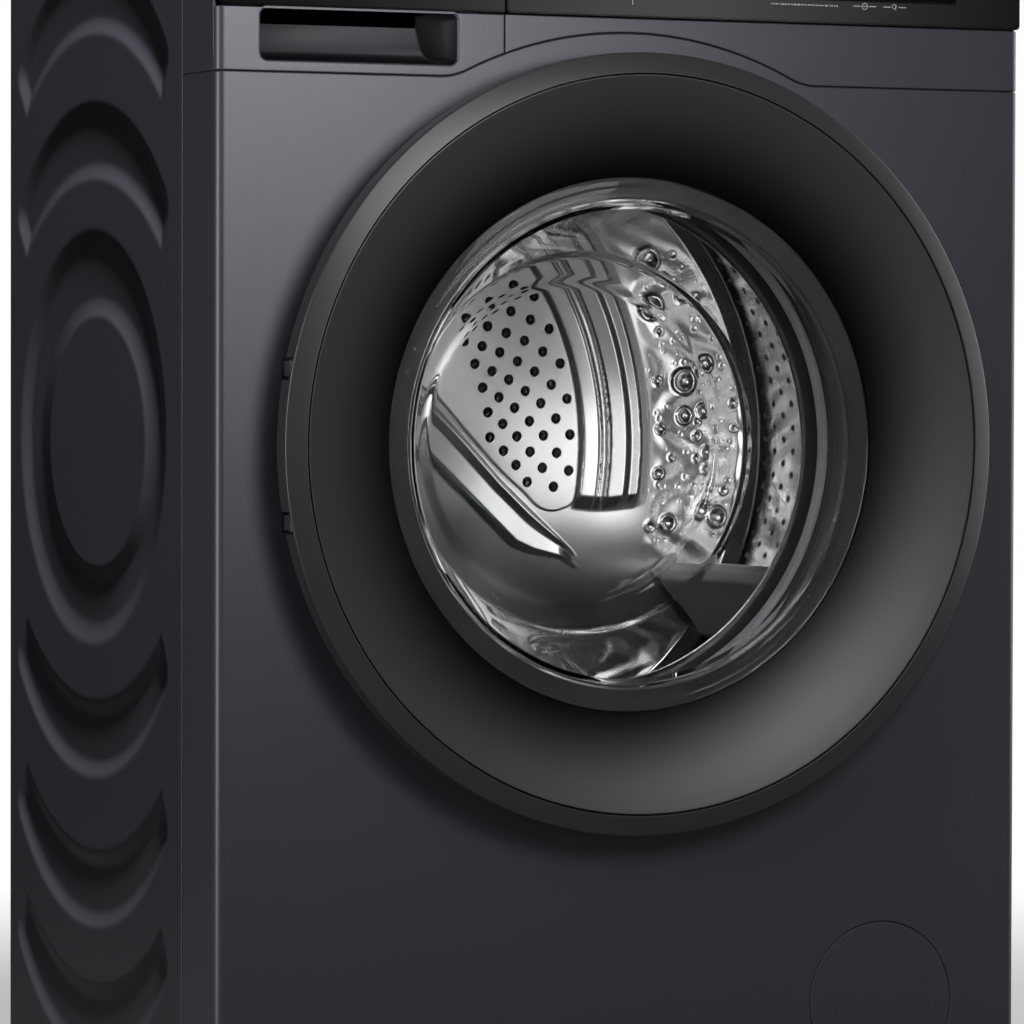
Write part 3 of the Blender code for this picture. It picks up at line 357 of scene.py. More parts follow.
MATERIALS = dict((
    # name, colour, roughness, metal, grain, bump, change of colour, change of gloss
    plain("cabinet_paint", (0.050, 0.046, 0.060), 0.46, 0.35, 2600, 0.000012, 0.12, 0.02,
          Specular_IOR_Level=0.5, Coat_Weight=0.25, Coat_Roughness=0.30),
    plain("side_paint", (0.046, 0.0445, 0.050), 0.42, 0.2, 2200, 0.00002, 0.10, 0.03),
    plain("zinc_sheet", (0.42, 0.43, 0.44), 0.42, 1.0, 60, 0.00001, 0.16, 0.08),
    plain("worktop_dark", (0.030, 0.028, 0.034), 0.38, 0, 1800, 0.00003, 0.10, 0.04),
    plain("fascia_black", (0.012, 0.012, 0.0118), 0.32, 0, 2400, 0.000008, 0.06, 0.02),
    plain("display_glass", (0.004, 0.004, 0.005), 0.06, 0, 300, 0, 0.05, 0.01,
          Coat_Weight=1.0, Coat_Roughness=0.03),
    plain("circuit_board", (0.02, 0.11, 0.05), 0.40, 0, 400, 0.00002, 0.20, 0.05),
    plain("foot_rubber", (0.022, 0.022, 0.022), 0.75, 0, 900, 0.00005, 0.15, 0.06),
    plain("dark_plastic", (0.030, 0.030, 0.032), 0.52, 0, 1500, 0.00004, 0.12, 0.05),
    plain("white_plastic", (0.78, 0.79, 0.80), 0.38, 0, 1200, 0.00002, 0.03, 0.05),
    plain("tub_plastic", (0.50, 0.51, 0.52), 0.55, 0, 300, 0.00006, 0.10, 0.06),
    plain("lifter_plastic", (0.20, 0.205, 0.21), 0.34, 0, 500, 0.00002, 0.05, 0.05),
    plain("gasket_rubber", (0.085, 0.086, 0.088), 0.50, 0, 700, 0.00004, 0.12, 0.06),
    plain("hose_rubber", (0.024, 0.024, 0.025), 0.62, 0, 900, 0.00004, 0.12, 0.06),
    plain("hinge_casting", (0.36, 0.36, 0.37), 0.48, 1.0, 500, 0.00004, 0.15, 0.08),
    plain("aluminium_casting", (0.46, 0.47, 0.48), 0.50, 1.0, 420, 0.00006, 0.12, 0.08),
    plain("bright_steel", (0.50, 0.50, 0.51), 0.28, 1.0, 900, 0.00001, 0.08, 0.06),
    plain("drum_steel", (0.42, 0.42, 0.42), 0.17, 1.0, 500, 0.000004, 0.05, 0.03, stretch=(1, 1, 0.06)),
    plain("pressed_steel", (0.56, 0.56, 0.56), 0.22, 1.0, 500, 0.000004, 0.05, 0.04),
    plain("patch_steel", (0.60, 0.60, 0.60), 0.30, 1.0, 500, 0.000004, 0.05, 0.03),
    # Painted shade: dark steel for the cups in the patch's holes.
    plain("dimple_shade_steel", (0.10, 0.10, 0.10), 0.12, 1.0, 900, 0, 0.05, 0.03),
    plain("concrete", (0.36, 0.35, 0.33), 0.92, 0, 160, 0.0004, 0.25, 0.04),
    plain("dish_black", (0.012, 0.012, 0.0117), 0.39, 0, 2400, 0.00001, 0.08, 0.01, Specular_IOR_Level=0.75),
    plain("door_black", (0.026, 0.026, 0.026), 0.36, 0, 2400, 0.00001, 0.08, 0.02),
    # Painted shadow: near-black without gloss, for the dark space behind the drawer grip.
    plain("painted_shadow_black", (0.0006, 0.0006, 0.0006), 0.9, 0, 500, 0, 0.05, 0.02, Specular_IOR_Level=0.0),
    # Painted shade: black discs that fill the drum's holes.
    plain("painted_hole_shade", (0.006, 0.006, 0.006), 0.55, 0, 500, 0, 0.05, 0.05),
    plain("print_white", (0.50, 0.50, 0.50), 0.55, 0, 900, 0, 0.03, 0.04),
))
MATERIALS["door_glass"] = clear_glass("door_glass", (0.96, 0.97, 0.97))
# Painted shade on the dish: its colour and gloss darken towards the glass.
painted_shade_inwards(MATERIALS["dish_black"], 0.172, 0.236, 0.06)


# Meshes


def made_from(name, bm, material, angle=34):
    """The finished object: merged, its normals outwards, and smooth except at edges over the angle."""
    bmesh.ops.remove_doubles(bm, verts=bm.verts, dist=2e-6)
    bmesh.ops.dissolve_degenerate(bm, edges=bm.edges, dist=1e-6)
    bmesh.ops.recalc_face_normals(bm, faces=bm.faces)
    mesh = bpy.data.meshes.new(name)
    bm.to_mesh(mesh)
    bm.free()
    mesh.shade_smooth()
    mesh.set_sharp_from_angle(angle=math.radians(angle))
    mesh.materials.append(MATERIALS[material])
    made = bpy.data.objects.new(name, mesh)
    bpy.context.collection.objects.link(made)
    return made


def piece(made, body, slot, *replaced):
    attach(made, body)
    if replaced:
        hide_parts(*replaced)
    return made


def weighted(made):
    modifier = made.modifiers.new("shading", "WEIGHTED_NORMAL")
    modifier.keep_sharp = True
    modifier.weight = 100
    return made


def sheet_piece(name, bm, material, body, *replaced):
    """A flat sheet with rolled edges, which needs weighted normals."""
    return piece(weighted(made_from(name, bm, material, 50)), body, material, *replaced)


def joined(bm, loops, closed=True, ends=False):
    """Adds the faces between each loop of vertices and the next, and over the two ends."""
    for a, b in zip(loops, loops[1:]):
        for k in range(len(a) if closed else len(a) - 1):
            n = (k + 1) % len(a)
            bm.faces.new((a[k], a[n], b[n], b[k]))
    if ends:
        bm.faces.new(loops[0])
        bm.faces.new(loops[-1])


def turn_steps(count, start=0.0):
    """Angles in equal steps round one turn."""
    return [TAU * (k + start) / count for k in range(count)]


def softened(start, corner, end, steps=5):
    """A short curve that replaces a corner."""
    shares = [k / steps for k in range(steps + 1)]
    return [tuple((1 - t) ** 2 * start + 2 * t * (1 - t) * corner + t * t * end) for t in shares]


def filleted(profile, closed=False):
    """Rounds the corners of a profile whose points may carry a third number, the corner's radius."""
    points = [Vector(p[:2]) for p in profile]
    radii = [p[2] if len(p) > 2 else 0 for p in profile]
    count = len(points)
    result = []
    for i, (point, radius) in enumerate(zip(points, radii)):
        before, after = points[i - 1] - point, points[(i + 1) % count] - point
        inner = closed or 0 < i < count - 1
        if not inner or radius <= 0 or min(before.length, after.length) < 1e-9:
            result.append(tuple(point))
            continue
        angle = before.angle(after)
        if angle > math.radians(172):
            result.append(tuple(point))
            continue
        reach = min(radius / math.tan(angle / 2), 0.48 * before.length, 0.48 * after.length)
        result += softened(point + before.normalized() * reach, point, point + after.normalized() * reach)
    return result


def spun(bm, profile, centre=(0, FRONT_Y, AXIS_Z), axis="Y", steps=SMOOTH, closed=None):
    """Adds a profile of (radius, distance along the axis) turned once about the axis."""
    if closed is None:
        closed = profile[0][0] > 0 and profile[-1][0] > 0
    centre = Vector(centre)

    def placed(radius, distance, angle):
        a, b = radius * math.cos(angle), radius * math.sin(angle)
        return centre + Vector({"X": (distance, a, b), "Y": (a, distance, b), "Z": (a, b, distance)}[axis])

    rings = []
    for radius, distance in profile:
        if radius < 1e-9:
            rings.append([bm.verts.new(placed(0, distance, 0))] * steps)
        else:
            rings.append([bm.verts.new(placed(radius, distance, a)) for a in turn_steps(steps)])
    pairs = list(zip(rings, rings[1:])) + ([(rings[-1], rings[0])] if closed else [])
    for a, b in pairs:
        for k in range(steps):
            n = (k + 1) % steps
            corners = list(dict.fromkeys((a[k], a[n], b[n], b[k])))
            if len(corners) > 2:
                bm.faces.new(corners)


def turned(name, material, profile, centre=(0, FRONT_Y, AXIS_Z), steps=SMOOTH, closed=None):
    if closed is None:
        closed = profile[0][0] > 0 and profile[-1][0] > 0
    bm = bmesh.new()
    spun(bm, filleted(profile, closed), centre, "Y", steps, closed)
    return made_from(name, bm, material)


def offset(points, by):
    """A closed outline moved outwards, with mitred corners, keeping its number of points."""
    points = [Vector(p) for p in points]
    area = sum(a.x * b.y - b.x * a.y for a, b in zip(points, points[1:] + points[:1]))
    way = 1 if area > 0 else -1
    moved = []
    for before, here, after in zip(points[-1:] + points[:-1], points, points[1:] + points[:1]):
        first, second = (here - before).normalized(), (after - here).normalized()
        normal = Vector((first.y + second.y, -first.x - second.x)).normalized()
        mitre = max(0.45, normal.dot(Vector((first.y, -first.x))))
        moved.append(here + way * by / mitre * normal)
    return [tuple(p) for p in moved]


def arc(centre, radius, start, end, steps):
    angles = [math.radians(start + (end - start) * k / steps) for k in range(steps + 1)]
    return [(centre[0] + radius * math.cos(a), centre[1] + radius * math.sin(a)) for a in angles]


def circle(centre, radius, count=128):
    return arc(centre, radius, 0, 360, count)[:-1]


def rounded(x, z, radius, steps=6):
    """A rectangle with round corners."""
    corners = (
        ((x[1] - radius, z[0] + radius), -90),
        ((x[1] - radius, z[1] - radius), 0),
        ((x[0] + radius, z[1] - radius), 90),
        ((x[0] + radius, z[0] + radius), 180),
    )
    return [p for centre, start in corners for p in arc(centre, radius, start, start + 90, steps)]


def spread(points, step):
    """The outline with extra points so that no edge is longer than a step."""
    result = []
    for a, b in zip(points, points[1:] + points[:1]):
        count = max(1, math.ceil(math.dist(a, b) / step))
        result += [(a[0] + (b[0] - a[0]) * k / count, a[1] + (b[1] - a[1]) * k / count)
                   for k in range(count)]
    return result


def plate(bm, outline, holes, place, roll=0.0010, hole_roll=0.0005, thickness=0.00125, bends=(), steps=4):
    """Adds a sheet with rolled edges. place(a, b, inwards) gives a point's place in space."""

    def ring(points, inset, depth, way):
        return [bm.verts.new((*p, depth)) for p in offset(points, way * inset)]

    cap_edges = {0: [], 1: []}
    for index, loop in enumerate([outline, *holes]):
        way = -1 if index == 0 else 1
        radius = min(roll if index == 0 else hole_roll, thickness)
        rings = []
        for k in range(steps + 1):
            a = math.pi / 2 * k / steps
            rings.append(ring(loop, radius * (1 - math.sin(a)), radius * (1 - math.cos(a)), way))
        rings.append(ring(loop, 0, thickness, way))
        joined(bm, rings)
        for side, loop_verts in ((0, rings[0]), (1, rings[-1])):
            for k in range(len(loop)):
                cap_edges[side].append(bm.edges.get((loop_verts[k], loop_verts[(k + 1) % len(loop)])))
    for edges in cap_edges.values():
        bmesh.ops.triangle_fill(bm, use_beauty=True, use_dissolve=False, edges=edges)
    for bend in bends:
        bmesh.ops.bisect_plane(bm, geom=bm.verts[:] + bm.edges[:] + bm.faces[:], dist=1e-7,
                               plane_co=(bend, 0, 0), plane_no=(1, 0, 0))
    for vert in bm.verts:
        vert.co = place(*vert.co)


def on_front(a, b, inwards):
    return (a, FRONT_Y + inwards, b)


def on_fascia(a, b, inwards):
    return on_front(a, b, inwards - FASCIA_PROUD)


WRAP_FLAT = HALF - CORNER_R
WRAP_TURN = CORNER_R * math.pi / 2
WRAP_END = WRAP_FLAT + WRAP_TURN + WRAP_DEPTH - CORNER_R
RIGHT_BENDS = [WRAP_FLAT + WRAP_TURN * k / 10 for k in range(11)]
LEFT_BENDS = [-s for s in RIGHT_BENDS]


def wrap(s, z, inwards):
    """A point on the front, which runs round both vertical corners: s is measured along it."""
    sign, run = (1 if s > 0 else -1), abs(s) - WRAP_FLAT
    if run <= 0:
        return (s, FRONT_Y + inwards, z)
    if run < WRAP_TURN:
        t = run / CORNER_R
        reach = CORNER_R - inwards
        return (sign * (WRAP_FLAT + reach * math.sin(t)), FRONT_Y + CORNER_R - reach * math.cos(t), z)
    return (sign * (HALF - inwards), FRONT_Y + CORNER_R + run - WRAP_TURN, z)


def seam_line(shift=0.0):
    """The seam from left to right: level, then a low arch that follows the door, then level."""
    level, radius, fillet = SEAM_Z + shift, SEAM_ARC_R + shift, SEAM_FILLET_R - shift
    rise = level + fillet - AXIS_Z
    fillet_x = math.sqrt((radius + fillet) ** 2 - rise**2)
    lean = math.degrees(math.atan2(rise, fillet_x))
    left = arc((-fillet_x, level + fillet), fillet, 270, 360 - lean, 10)
    arch = arc((0, AXIS_Z), radius, 180 - lean, lean, 60)
    right = arc((fillet_x, level + fillet), fillet, 180 + lean, 270, 10)
    return [*left, *arch[1:-1], *right]


def box(bm, low, high, bevel=0.0):
    """Adds a box with its low and high corners, its edges rounded by a bevel."""
    made = bmesh.ops.create_cube(bm, size=1)["verts"]
    size, middle = Vector(high) - Vector(low), (Vector(low) + Vector(high)) / 2
    for vert in made:
        vert.co = vert.co * size + middle
    if bevel:
        edges = list({e for v in made for e in v.link_edges})
        bmesh.ops.bevel(bm, geom=edges, offset=bevel, segments=3, profile=0.5, affect="EDGES")


def pipe(bm, points, radius, sides=6, closed=False):
    """Adds a fine tube along points, closed in a ring or with capped ends."""
    points = [Vector(p) for p in points]
    count = len(points)
    rings = []
    normal = None
    for i, point in enumerate(points):
        if closed:
            tangent = points[(i + 1) % count] - points[i - 1]
        else:
            tangent = points[min(i + 1, count - 1)] - points[max(i - 1, 0)]
        tangent.normalize()
        if normal is None:
            normal = tangent.orthogonal().normalized()
        normal = (normal - tangent * normal.dot(tangent)).normalized()
        other = tangent.cross(normal)
        rings.append([bm.verts.new(point + radius * (normal * math.cos(a) + other * math.sin(a)))
                      for a in turn_steps(sides)])
    if closed:
        rings.append(rings[0])
    joined(bm, rings, ends=not closed)


def push(bm, outline, place, span):
    """Adds an outline pushed from one depth to another, as a closed solid."""
    joined(bm, [[bm.verts.new(place(a, b, d)) for a, b in outline] for d in span], ends=True)


# Cabinet


def make_front_panel():
    bm = bmesh.new()
    line = [p for p in seam_line() if abs(p[0]) < WRAP_END]
    outline = spread([(-WRAP_END, CABINET_BOTTOM), (WRAP_END, CABINET_BOTTOM), (WRAP_END, SEAM_Z),
                      *reversed(line), (-WRAP_END, SEAM_Z)], 0.03)
    slots = [rounded((-0.2515, -0.2455), (z - 0.0065, z + 0.0065), 0.001, 3)
             for z in (AXIS_Z - KNUCKLE_Z, AXIS_Z + KNUCKLE_Z)]
    holes = [circle((0, AXIS_Z), OPENING_R, SMOOTH), circle(FILTER, FLAP_R + 0.0006),
             rounded((0.209, 0.226), (AXIS_Z - 0.015, AXIS_Z + 0.015), 0.003), *slots]
    plate(bm, outline, holes, wrap, roll=0.0012, hole_roll=0.0004, bends=[*LEFT_BENDS, *RIGHT_BENDS])
    sheet_piece("front_panel_skin", bm, "cabinet_paint", "cabinet", "front_panel")


def make_upper_front_panel():
    left = SPLIT_X + SPLIT_GAP
    top = FASCIA_Z - FASCIA_GAP
    low = SEAM_Z + SEAM_GAP
    line = [p for p in seam_line(SEAM_GAP) if p[0] > left]
    rise = AXIS_Z + math.sqrt((SEAM_ARC_R + SEAM_GAP) ** 2 - left**2)
    turn = WRAP_FLAT + WRAP_TURN + 0.0004
    outline = spread([(left, rise), *line, (WRAP_END, low), (WRAP_END, FASCIA_TOP),
                      (turn, FASCIA_TOP), (turn, top), (left, top)], 0.03)
    bm = bmesh.new()
    plate(bm, outline, [], wrap, roll=0.0009, thickness=0.0016, bends=RIGHT_BENDS)
    sheet_piece("upper_panel_skin", bm, "cabinet_paint", "cabinet", "upper_front_panel")
    bm = bmesh.new()
    strip = spread([(-WRAP_END, low), (-turn, low), (-turn, FASCIA_TOP), (-WRAP_END, FASCIA_TOP)], 0.03)
    plate(bm, strip, [], wrap, roll=0.0007, thickness=0.0016)
    box(bm, (0.0020 - HALF, behind(0.0070), SEAM_Z + 0.0012),
        (left + 0.008, behind(0.0105), SEAM_Z + 0.0040), 0.0004)
    sheet_piece("upper_panel_strip_left", bm, "cabinet_paint", "cabinet")


GRIP_X = (-0.2668, -0.1270)
GRIP_Z = (0.7193, 0.7525)
SLOT_X = (-0.2657, -0.1486)
SLOT_Z = (0.7438, 0.7524)
SCOOP_R = 0.0244
POCKET = (  # depth, share of the scoop, lift of the floor
    (0.0020, 0, 0), (0.0060, 0.12, 0.0002), (0.0110, 0.36, 0.0005), (0.0165, 0.66, 0.0010),
    (0.0200, 0.86, 0.0020), (0.0222, 0.96, 0.0038), (0.0230, 1, 0.0065),
)


def scoop(z):
    """Where the pocket's right end is at its deepest: it runs back to a quarter circle."""
    drop = min(SCOOP_R, max(0.0, SLOT_Z[0] - z))
    return min(GRIP_X[1], SLOT_X[1] + SCOOP_R - math.sqrt(SCOOP_R**2 - drop**2))


def make_grip_pocket():
    bm = bmesh.new()
    loops = []
    for depth, share, lift in POCKET:
        loop = []
        for x, z in rounded((GRIP_X[0] + lift / 2, GRIP_X[1]), (GRIP_Z[0] + lift, GRIP_Z[1]), 0.0050, 8):
            toward = max(0.0, (x - GRIP_X[1] + 0.05) / 0.05)
            loop.append(bm.verts.new(on_front(x + toward * share * (scoop(z) - GRIP_X[1]), z, depth)))
        loops.append(loop)
    joined(bm, loops)
    bm.faces.new(loops[-1])
    piece(made_from("drawer_grip_pocket", bm, "cabinet_paint", 60), "drawer", "cabinet_paint")
    # Two black boxes of painted shadow fill the dark space of the slot above the grip.
    bm = bmesh.new()
    left = SLOT_X[0] + 0.0003
    box(bm, on_front(left, SLOT_Z[0], 0.0212), on_front(SLOT_X[1], SLOT_Z[1], 0.0229), 0.0003)
    box(bm, on_front(left, SLOT_Z[1] - 0.0008, 0.0040), on_front(SLOT_X[1], SLOT_Z[1], 0.0215))
    piece(made_from("drawer_grip_slot_shadow", bm, "painted_shadow_black"), "drawer", "dark_plastic")


def make_drawer_front():
    """The painted front with its finger grip, and the black plate above it."""
    right = SPLIT_X - SPLIT_GAP
    top = FASCIA_Z - FASCIA_GAP
    turn = -(WRAP_FLAT + WRAP_TURN)
    line = [p for p in seam_line(SEAM_GAP) if p[0] < right]
    rise = AXIS_Z + math.sqrt((SEAM_ARC_R + SEAM_GAP) ** 2 - right**2)
    outline = spread([(turn, SEAM_Z + SEAM_GAP), *line, (right, rise), (right, top), (turn, top)], 0.03)
    bm = bmesh.new()
    mouth = rounded(GRIP_X, GRIP_Z, 0.0050)
    plate(bm, outline, [mouth], wrap, roll=0.0009, hole_roll=0.0018, thickness=0.0024, bends=LEFT_BENDS)
    sheet_piece("drawer_front_skin", bm, "cabinet_paint", "drawer", "drawer_front")
    make_grip_pocket()

    bm = bmesh.new()
    outline = rounded((-HALF + 0.0025, right + 0.0024), (FASCIA_Z, FASCIA_TOP), 0.0032, 8)
    outline = [(min(a, right), b) for a, b in outline]
    outline = [p for k, p in enumerate(outline) if math.dist(p, outline[k - 1]) > 1e-6]
    plate(bm, spread(outline, 0.03), [], on_fascia, roll=0.0007, thickness=0.0035)
    lip(bm, -HALF + 0.0030, right)
    sheet_piece("drawer_fascia_plate", bm, "fascia_black", "drawer")


def lip(bm, left, right):
    """The fine raised lip along a fascia's lower edge."""
    box(bm, on_front(left + 0.0020, FASCIA_Z + 0.0001, -FASCIA_PROUD - 0.0004),
        on_front(right - 0.0020, FASCIA_Z + 0.0013, 0.0005), 0.0004)


DISPLAY_X = (0.075, 0.2473)
DISPLAY_Z = (0.7703, 0.8170)
DIAL = (0.0, 0.7925)
BUTTONS = (("power_button", (-0.060, 0.7925)), ("start_button", (0.045, 0.7925)))
BUTTON_R = 0.0085


def make_fascia():
    left = SPLIT_X + SPLIT_GAP
    outline = spread(rounded((left, HALF), (FASCIA_Z, FASCIA_TOP), 0.0030, 8), 0.03)
    holes = [circle(DIAL, 0.0045, 48), rounded(DISPLAY_X, DISPLAY_Z, 0.0020)]
    holes += [circle(centre, BUTTON_R + 0.0005, 64) for _, centre in BUTTONS]
    bm = bmesh.new()
    plate(bm, outline, holes, on_fascia, roll=0.0008, hole_roll=0.0004, thickness=0.0030)
    for low, high in (((left + 0.001, FASCIA_Z + 0.001), (left + 0.003, FASCIA_TOP - 0.001)),
                      ((HALF - 0.007, FASCIA_Z + 0.001), (HALF - 0.005, FASCIA_TOP - 0.001)),
                      ((left + 0.001, FASCIA_Z + 0.0004), (HALF - 0.005, FASCIA_Z + 0.0024)),
                      ((left + 0.001, FASCIA_TOP - 0.0024), (HALF - 0.005, FASCIA_TOP - 0.0004))):
        box(bm, on_front(*low, 0.0014), on_front(*high, 0.050), 0.0004)
    lip(bm, left, HALF)
    sheet_piece("control_fascia_shell", bm, "fascia_black", "cabinet", "control_fascia")

    bm = bmesh.new()
    across, up = ((span[0] + 0.0004, span[1] - 0.0004) for span in (DISPLAY_X, DISPLAY_Z))
    inset = rounded(across, up, 0.0018)
    plate(bm, inset, [], on_fascia, roll=0.0004, thickness=0.0008)
    sheet_piece("display_cover", bm, "display_glass", "cabinet", "display_window")
    make_marks()


def make_marks():
    """Marks round the display and the dial: plain bars and rings, no lettering."""
    bm = bmesh.new()

    def mark(x, z, depth=-FASCIA_PROUD - 0.00012):
        push(bm, rounded(x, z, min(0.00018, 0.4 * (z[1] - z[0])), 2), on_front, (depth, depth + 0.0002))

    def ring(centre, radius, wide, depth=-FASCIA_PROUD - 0.00012):
        points = [on_front(*p, depth) for p in circle(centre, radius, 32)]
        pipe(bm, points, wide, closed=True)

    for centre in ((0.1757, 0.7668), (0.1990, 0.7668)):
        height = (centre[1] - 0.0003, centre[1] + 0.0003)
        mark((centre[0] - 0.0088, centre[0] - 0.0032), height)
        mark((centre[0] + 0.0032, centre[0] + 0.0088), height)
    ring((0.1757, 0.7668), 0.0021, 0.00028)
    mark((0.1742, 0.1772), (0.76655, 0.76705))
    ring((0.1986, 0.7673), 0.0015, 0.00025)
    mark((0.19945, 0.19995), (0.7647, 0.7684))
    rng = random.Random(4)
    x = 0.1040
    while x < 0.1545:
        wide = rng.uniform(0.0006, 0.0020)
        mark((x, x + wide), (0.7664 - rng.uniform(0.0003, 0.0006), 0.7664 + rng.uniform(0.0003, 0.0006)))
        x += wide + rng.uniform(0.0007, 0.0011)
    for k in range(3):
        at = 0.094 + 0.066 * k
        mark((at, at + 0.032), (0.7830, 0.7836), -FASCIA_PROUD - 0.00005)
        ring((at + 0.046, 0.7958), 0.0052, 0.00030, -FASCIA_PROUD - 0.00002)
        for j in range(4):
            across = (at + 0.008 * j, at + 0.008 * j + 0.0052)
            mark(across, (0.7930, 0.7936), -FASCIA_PROUD - 0.00005)
            mark(across, (0.8010, 0.8016), -FASCIA_PROUD - 0.00005)
    for k in range(12):
        a = math.radians(90 + 30 * k)
        low, high = 0.0262, 0.0285 if k % 3 else 0.0300
        ends = [(DIAL[0] + r * math.cos(a), DIAL[1] + r * math.sin(a)) for r in (low, high)]
        pipe(bm, [on_front(*p, -FASCIA_PROUD - 0.00002) for p in ends], 0.00030)
    piece(made_from("fascia_marks", bm, "print_white"), "cabinet", "white_plastic")


def make_controls():
    bm = bmesh.new()
    skirt = -FASCIA_PROUD - 0.0006
    profile = filleted([
        (0, -0.0180), (0.0165, -0.0180, 0.001), (0.0180, -0.0190, 0.0008), (0.0206, -0.0190, 0.0009),
        (0.0222, -0.0165, 0.002), (0.0230, skirt), (0.0038, skirt), (0.0038, 0.011), (0, 0.011)])
    spun(bm, profile, (DIAL[0], FRONT_Y, DIAL[1]), steps=120, closed=False)
    for vert in bm.verts:  # grip flutes round the rim
        out = Vector((vert.co.x - DIAL[0], 0, vert.co.z - DIAL[1]))
        depth = vert.co.y - FRONT_Y
        if out.length > 0.0195 and depth > -0.0172:
            vert.co -= out.normalized() * 0.00035 * (0.5 + 0.5 * math.cos(40 * math.atan2(out.z, out.x)))
    piece(made_from("programme_dial_knob", bm, "fascia_black"), "dial", "fascia_black", "programme_dial")
    bm = bmesh.new()
    pointer = rounded((DIAL[0] - 0.0005, DIAL[0] + 0.0005), (DIAL[1] + 0.0108, DIAL[1] + 0.0158), 0.0004, 3)
    push(bm, pointer, on_front, (-0.01815, -0.0170))
    spun(bm, filleted([(0.0166, -0.0181), (0.0172, -0.01945, 0.0004), (0.0184, -0.01945, 0.0004),
                       (0.0190, -0.0188)], True), (DIAL[0], FRONT_Y, DIAL[1]), steps=96)
    piece(made_from("dial_trim", bm, "bright_steel"), "dial", "bright_steel")
    for name, centre in BUTTONS:
        made = turned(f"{name}_cap", "fascia_black",
                      [(0, -0.0036), (0.0050, -0.0038, 0.004), (0.0074, -0.0040, 0.0006),
                       (BUTTON_R, -0.0034, 0.0008), (BUTTON_R, 0.0090, 0.0004), (0, 0.0090)],
                      (centre[0], FRONT_Y, centre[1]), steps=64)
        piece(made, name, "fascia_black", name)
    bm = bmesh.new()
    x, z = BUTTONS[0][1]
    pipe(bm, [on_front(*p, -0.00385) for p in arc((x, z), 0.0030, 118, 422, 30)], 0.00025)
    pipe(bm, [on_front(x, z + rise, -0.00385) for rise in (0.0012, 0.0040)], 0.00025)
    piece(made_from("power_mark", bm, "print_white"), "power_button", "white_plastic")
    bm = bmesh.new()
    x, z = BUTTONS[1][1]
    triangle = [(x - 0.0016, z - 0.0024), (x + 0.0026, z), (x - 0.0016, z + 0.0024)]
    push(bm, triangle, on_front, (-0.00400, -0.0036))
    piece(made_from("start_mark", bm, "print_white"), "start_button", "white_plastic")


CRESCENT_TOPS = ((0.7017, 1), (0.8007, 1), (0.2386, -1), (0.1355, -1), (0.0444, -1))
CRESCENT_MIDDLE = 0.2330  # depth of its crown behind the front
CRESCENT_HALF = 0.1468
CRESCENT_TALL = 0.0540  # at the crown
OUTER_R = 0.188
INNER_R = 0.195
END_R = 0.018


def crescent(top, way):
    """A pressed crescent, arched up or sagging down: an outer and an inner arc, and round ends."""
    side = CRESCENT_HALF - END_R
    lean = math.degrees(math.asin(side / (OUTER_R - END_R)))
    low = math.sqrt((OUTER_R - END_R) ** 2 - side**2) - OUTER_R
    left = arc((-side, low), END_R, 205, 90 + lean, 8)
    outer = arc((0, -OUTER_R), OUTER_R, 90 + lean, 90 - lean, 48)
    right = arc((side, low), END_R, 90 - lean, -25, 8)
    inner = arc((-0.003, -CRESCENT_TALL - INNER_R), INNER_R, 47.6, 132.4, 40)
    return np.array([*left, *outer[1:-1], *right, *inner]) * (1, way) + (CRESCENT_MIDDLE, top)


def smooth_loop(points, steps=6):
    """A closed Catmull-Rom curve through the points."""
    points = np.array(points, float)
    result = []
    for k in range(len(points)):
        a, b, c, d = (points[(k + j) % len(points)] for j in (-1, 0, 1, 2))
        for step in range(steps):
            t = step / steps
            result.append(0.5 * (2 * b + (c - a) * t + (2 * a - 5 * b + 4 * c - d) * t**2
                                 + (3 * b - a - 3 * c + d) * t**3))
    return np.array(result)


def inside_distance(points, loop):
    """How far each point is inside a closed loop, negative outside."""
    ends = np.roll(loop, -1, axis=0)
    best = np.full(len(points), 1e9)
    inside = np.zeros(len(points), bool)
    for a, b in zip(loop, ends):
        edge = b - a
        t = np.clip(((points - a) @ edge) / max(edge @ edge, 1e-12), 0, 1)
        gap = points - a - t[:, None] * edge
        best = np.minimum(best, np.hypot(gap[:, 0], gap[:, 1]))
        if a[1] != b[1]:
            crosses = (a[1] > points[:, 1]) != (b[1] > points[:, 1])
            inside ^= crosses & (points[:, 0] < a[0] + edge[0] * (points[:, 1] - a[1]) / edge[1])
    return np.where(inside, best, -best)


def eased(t):
    t = np.clip(t, 0, 1)
    return t * t * (3 - 2 * t)


def ramp(t, ease=0.14):
    """A straight ramp from 0 to 1 whose two ends are rounded off."""
    t = np.clip(t, -ease, 1 + ease)
    low, high = (t + ease) ** 2 / (4 * ease), 1 - (1 + ease - t) ** 2 / (4 * ease)
    return np.where(t < ease, low, np.where(t > 1 - ease, high, t))


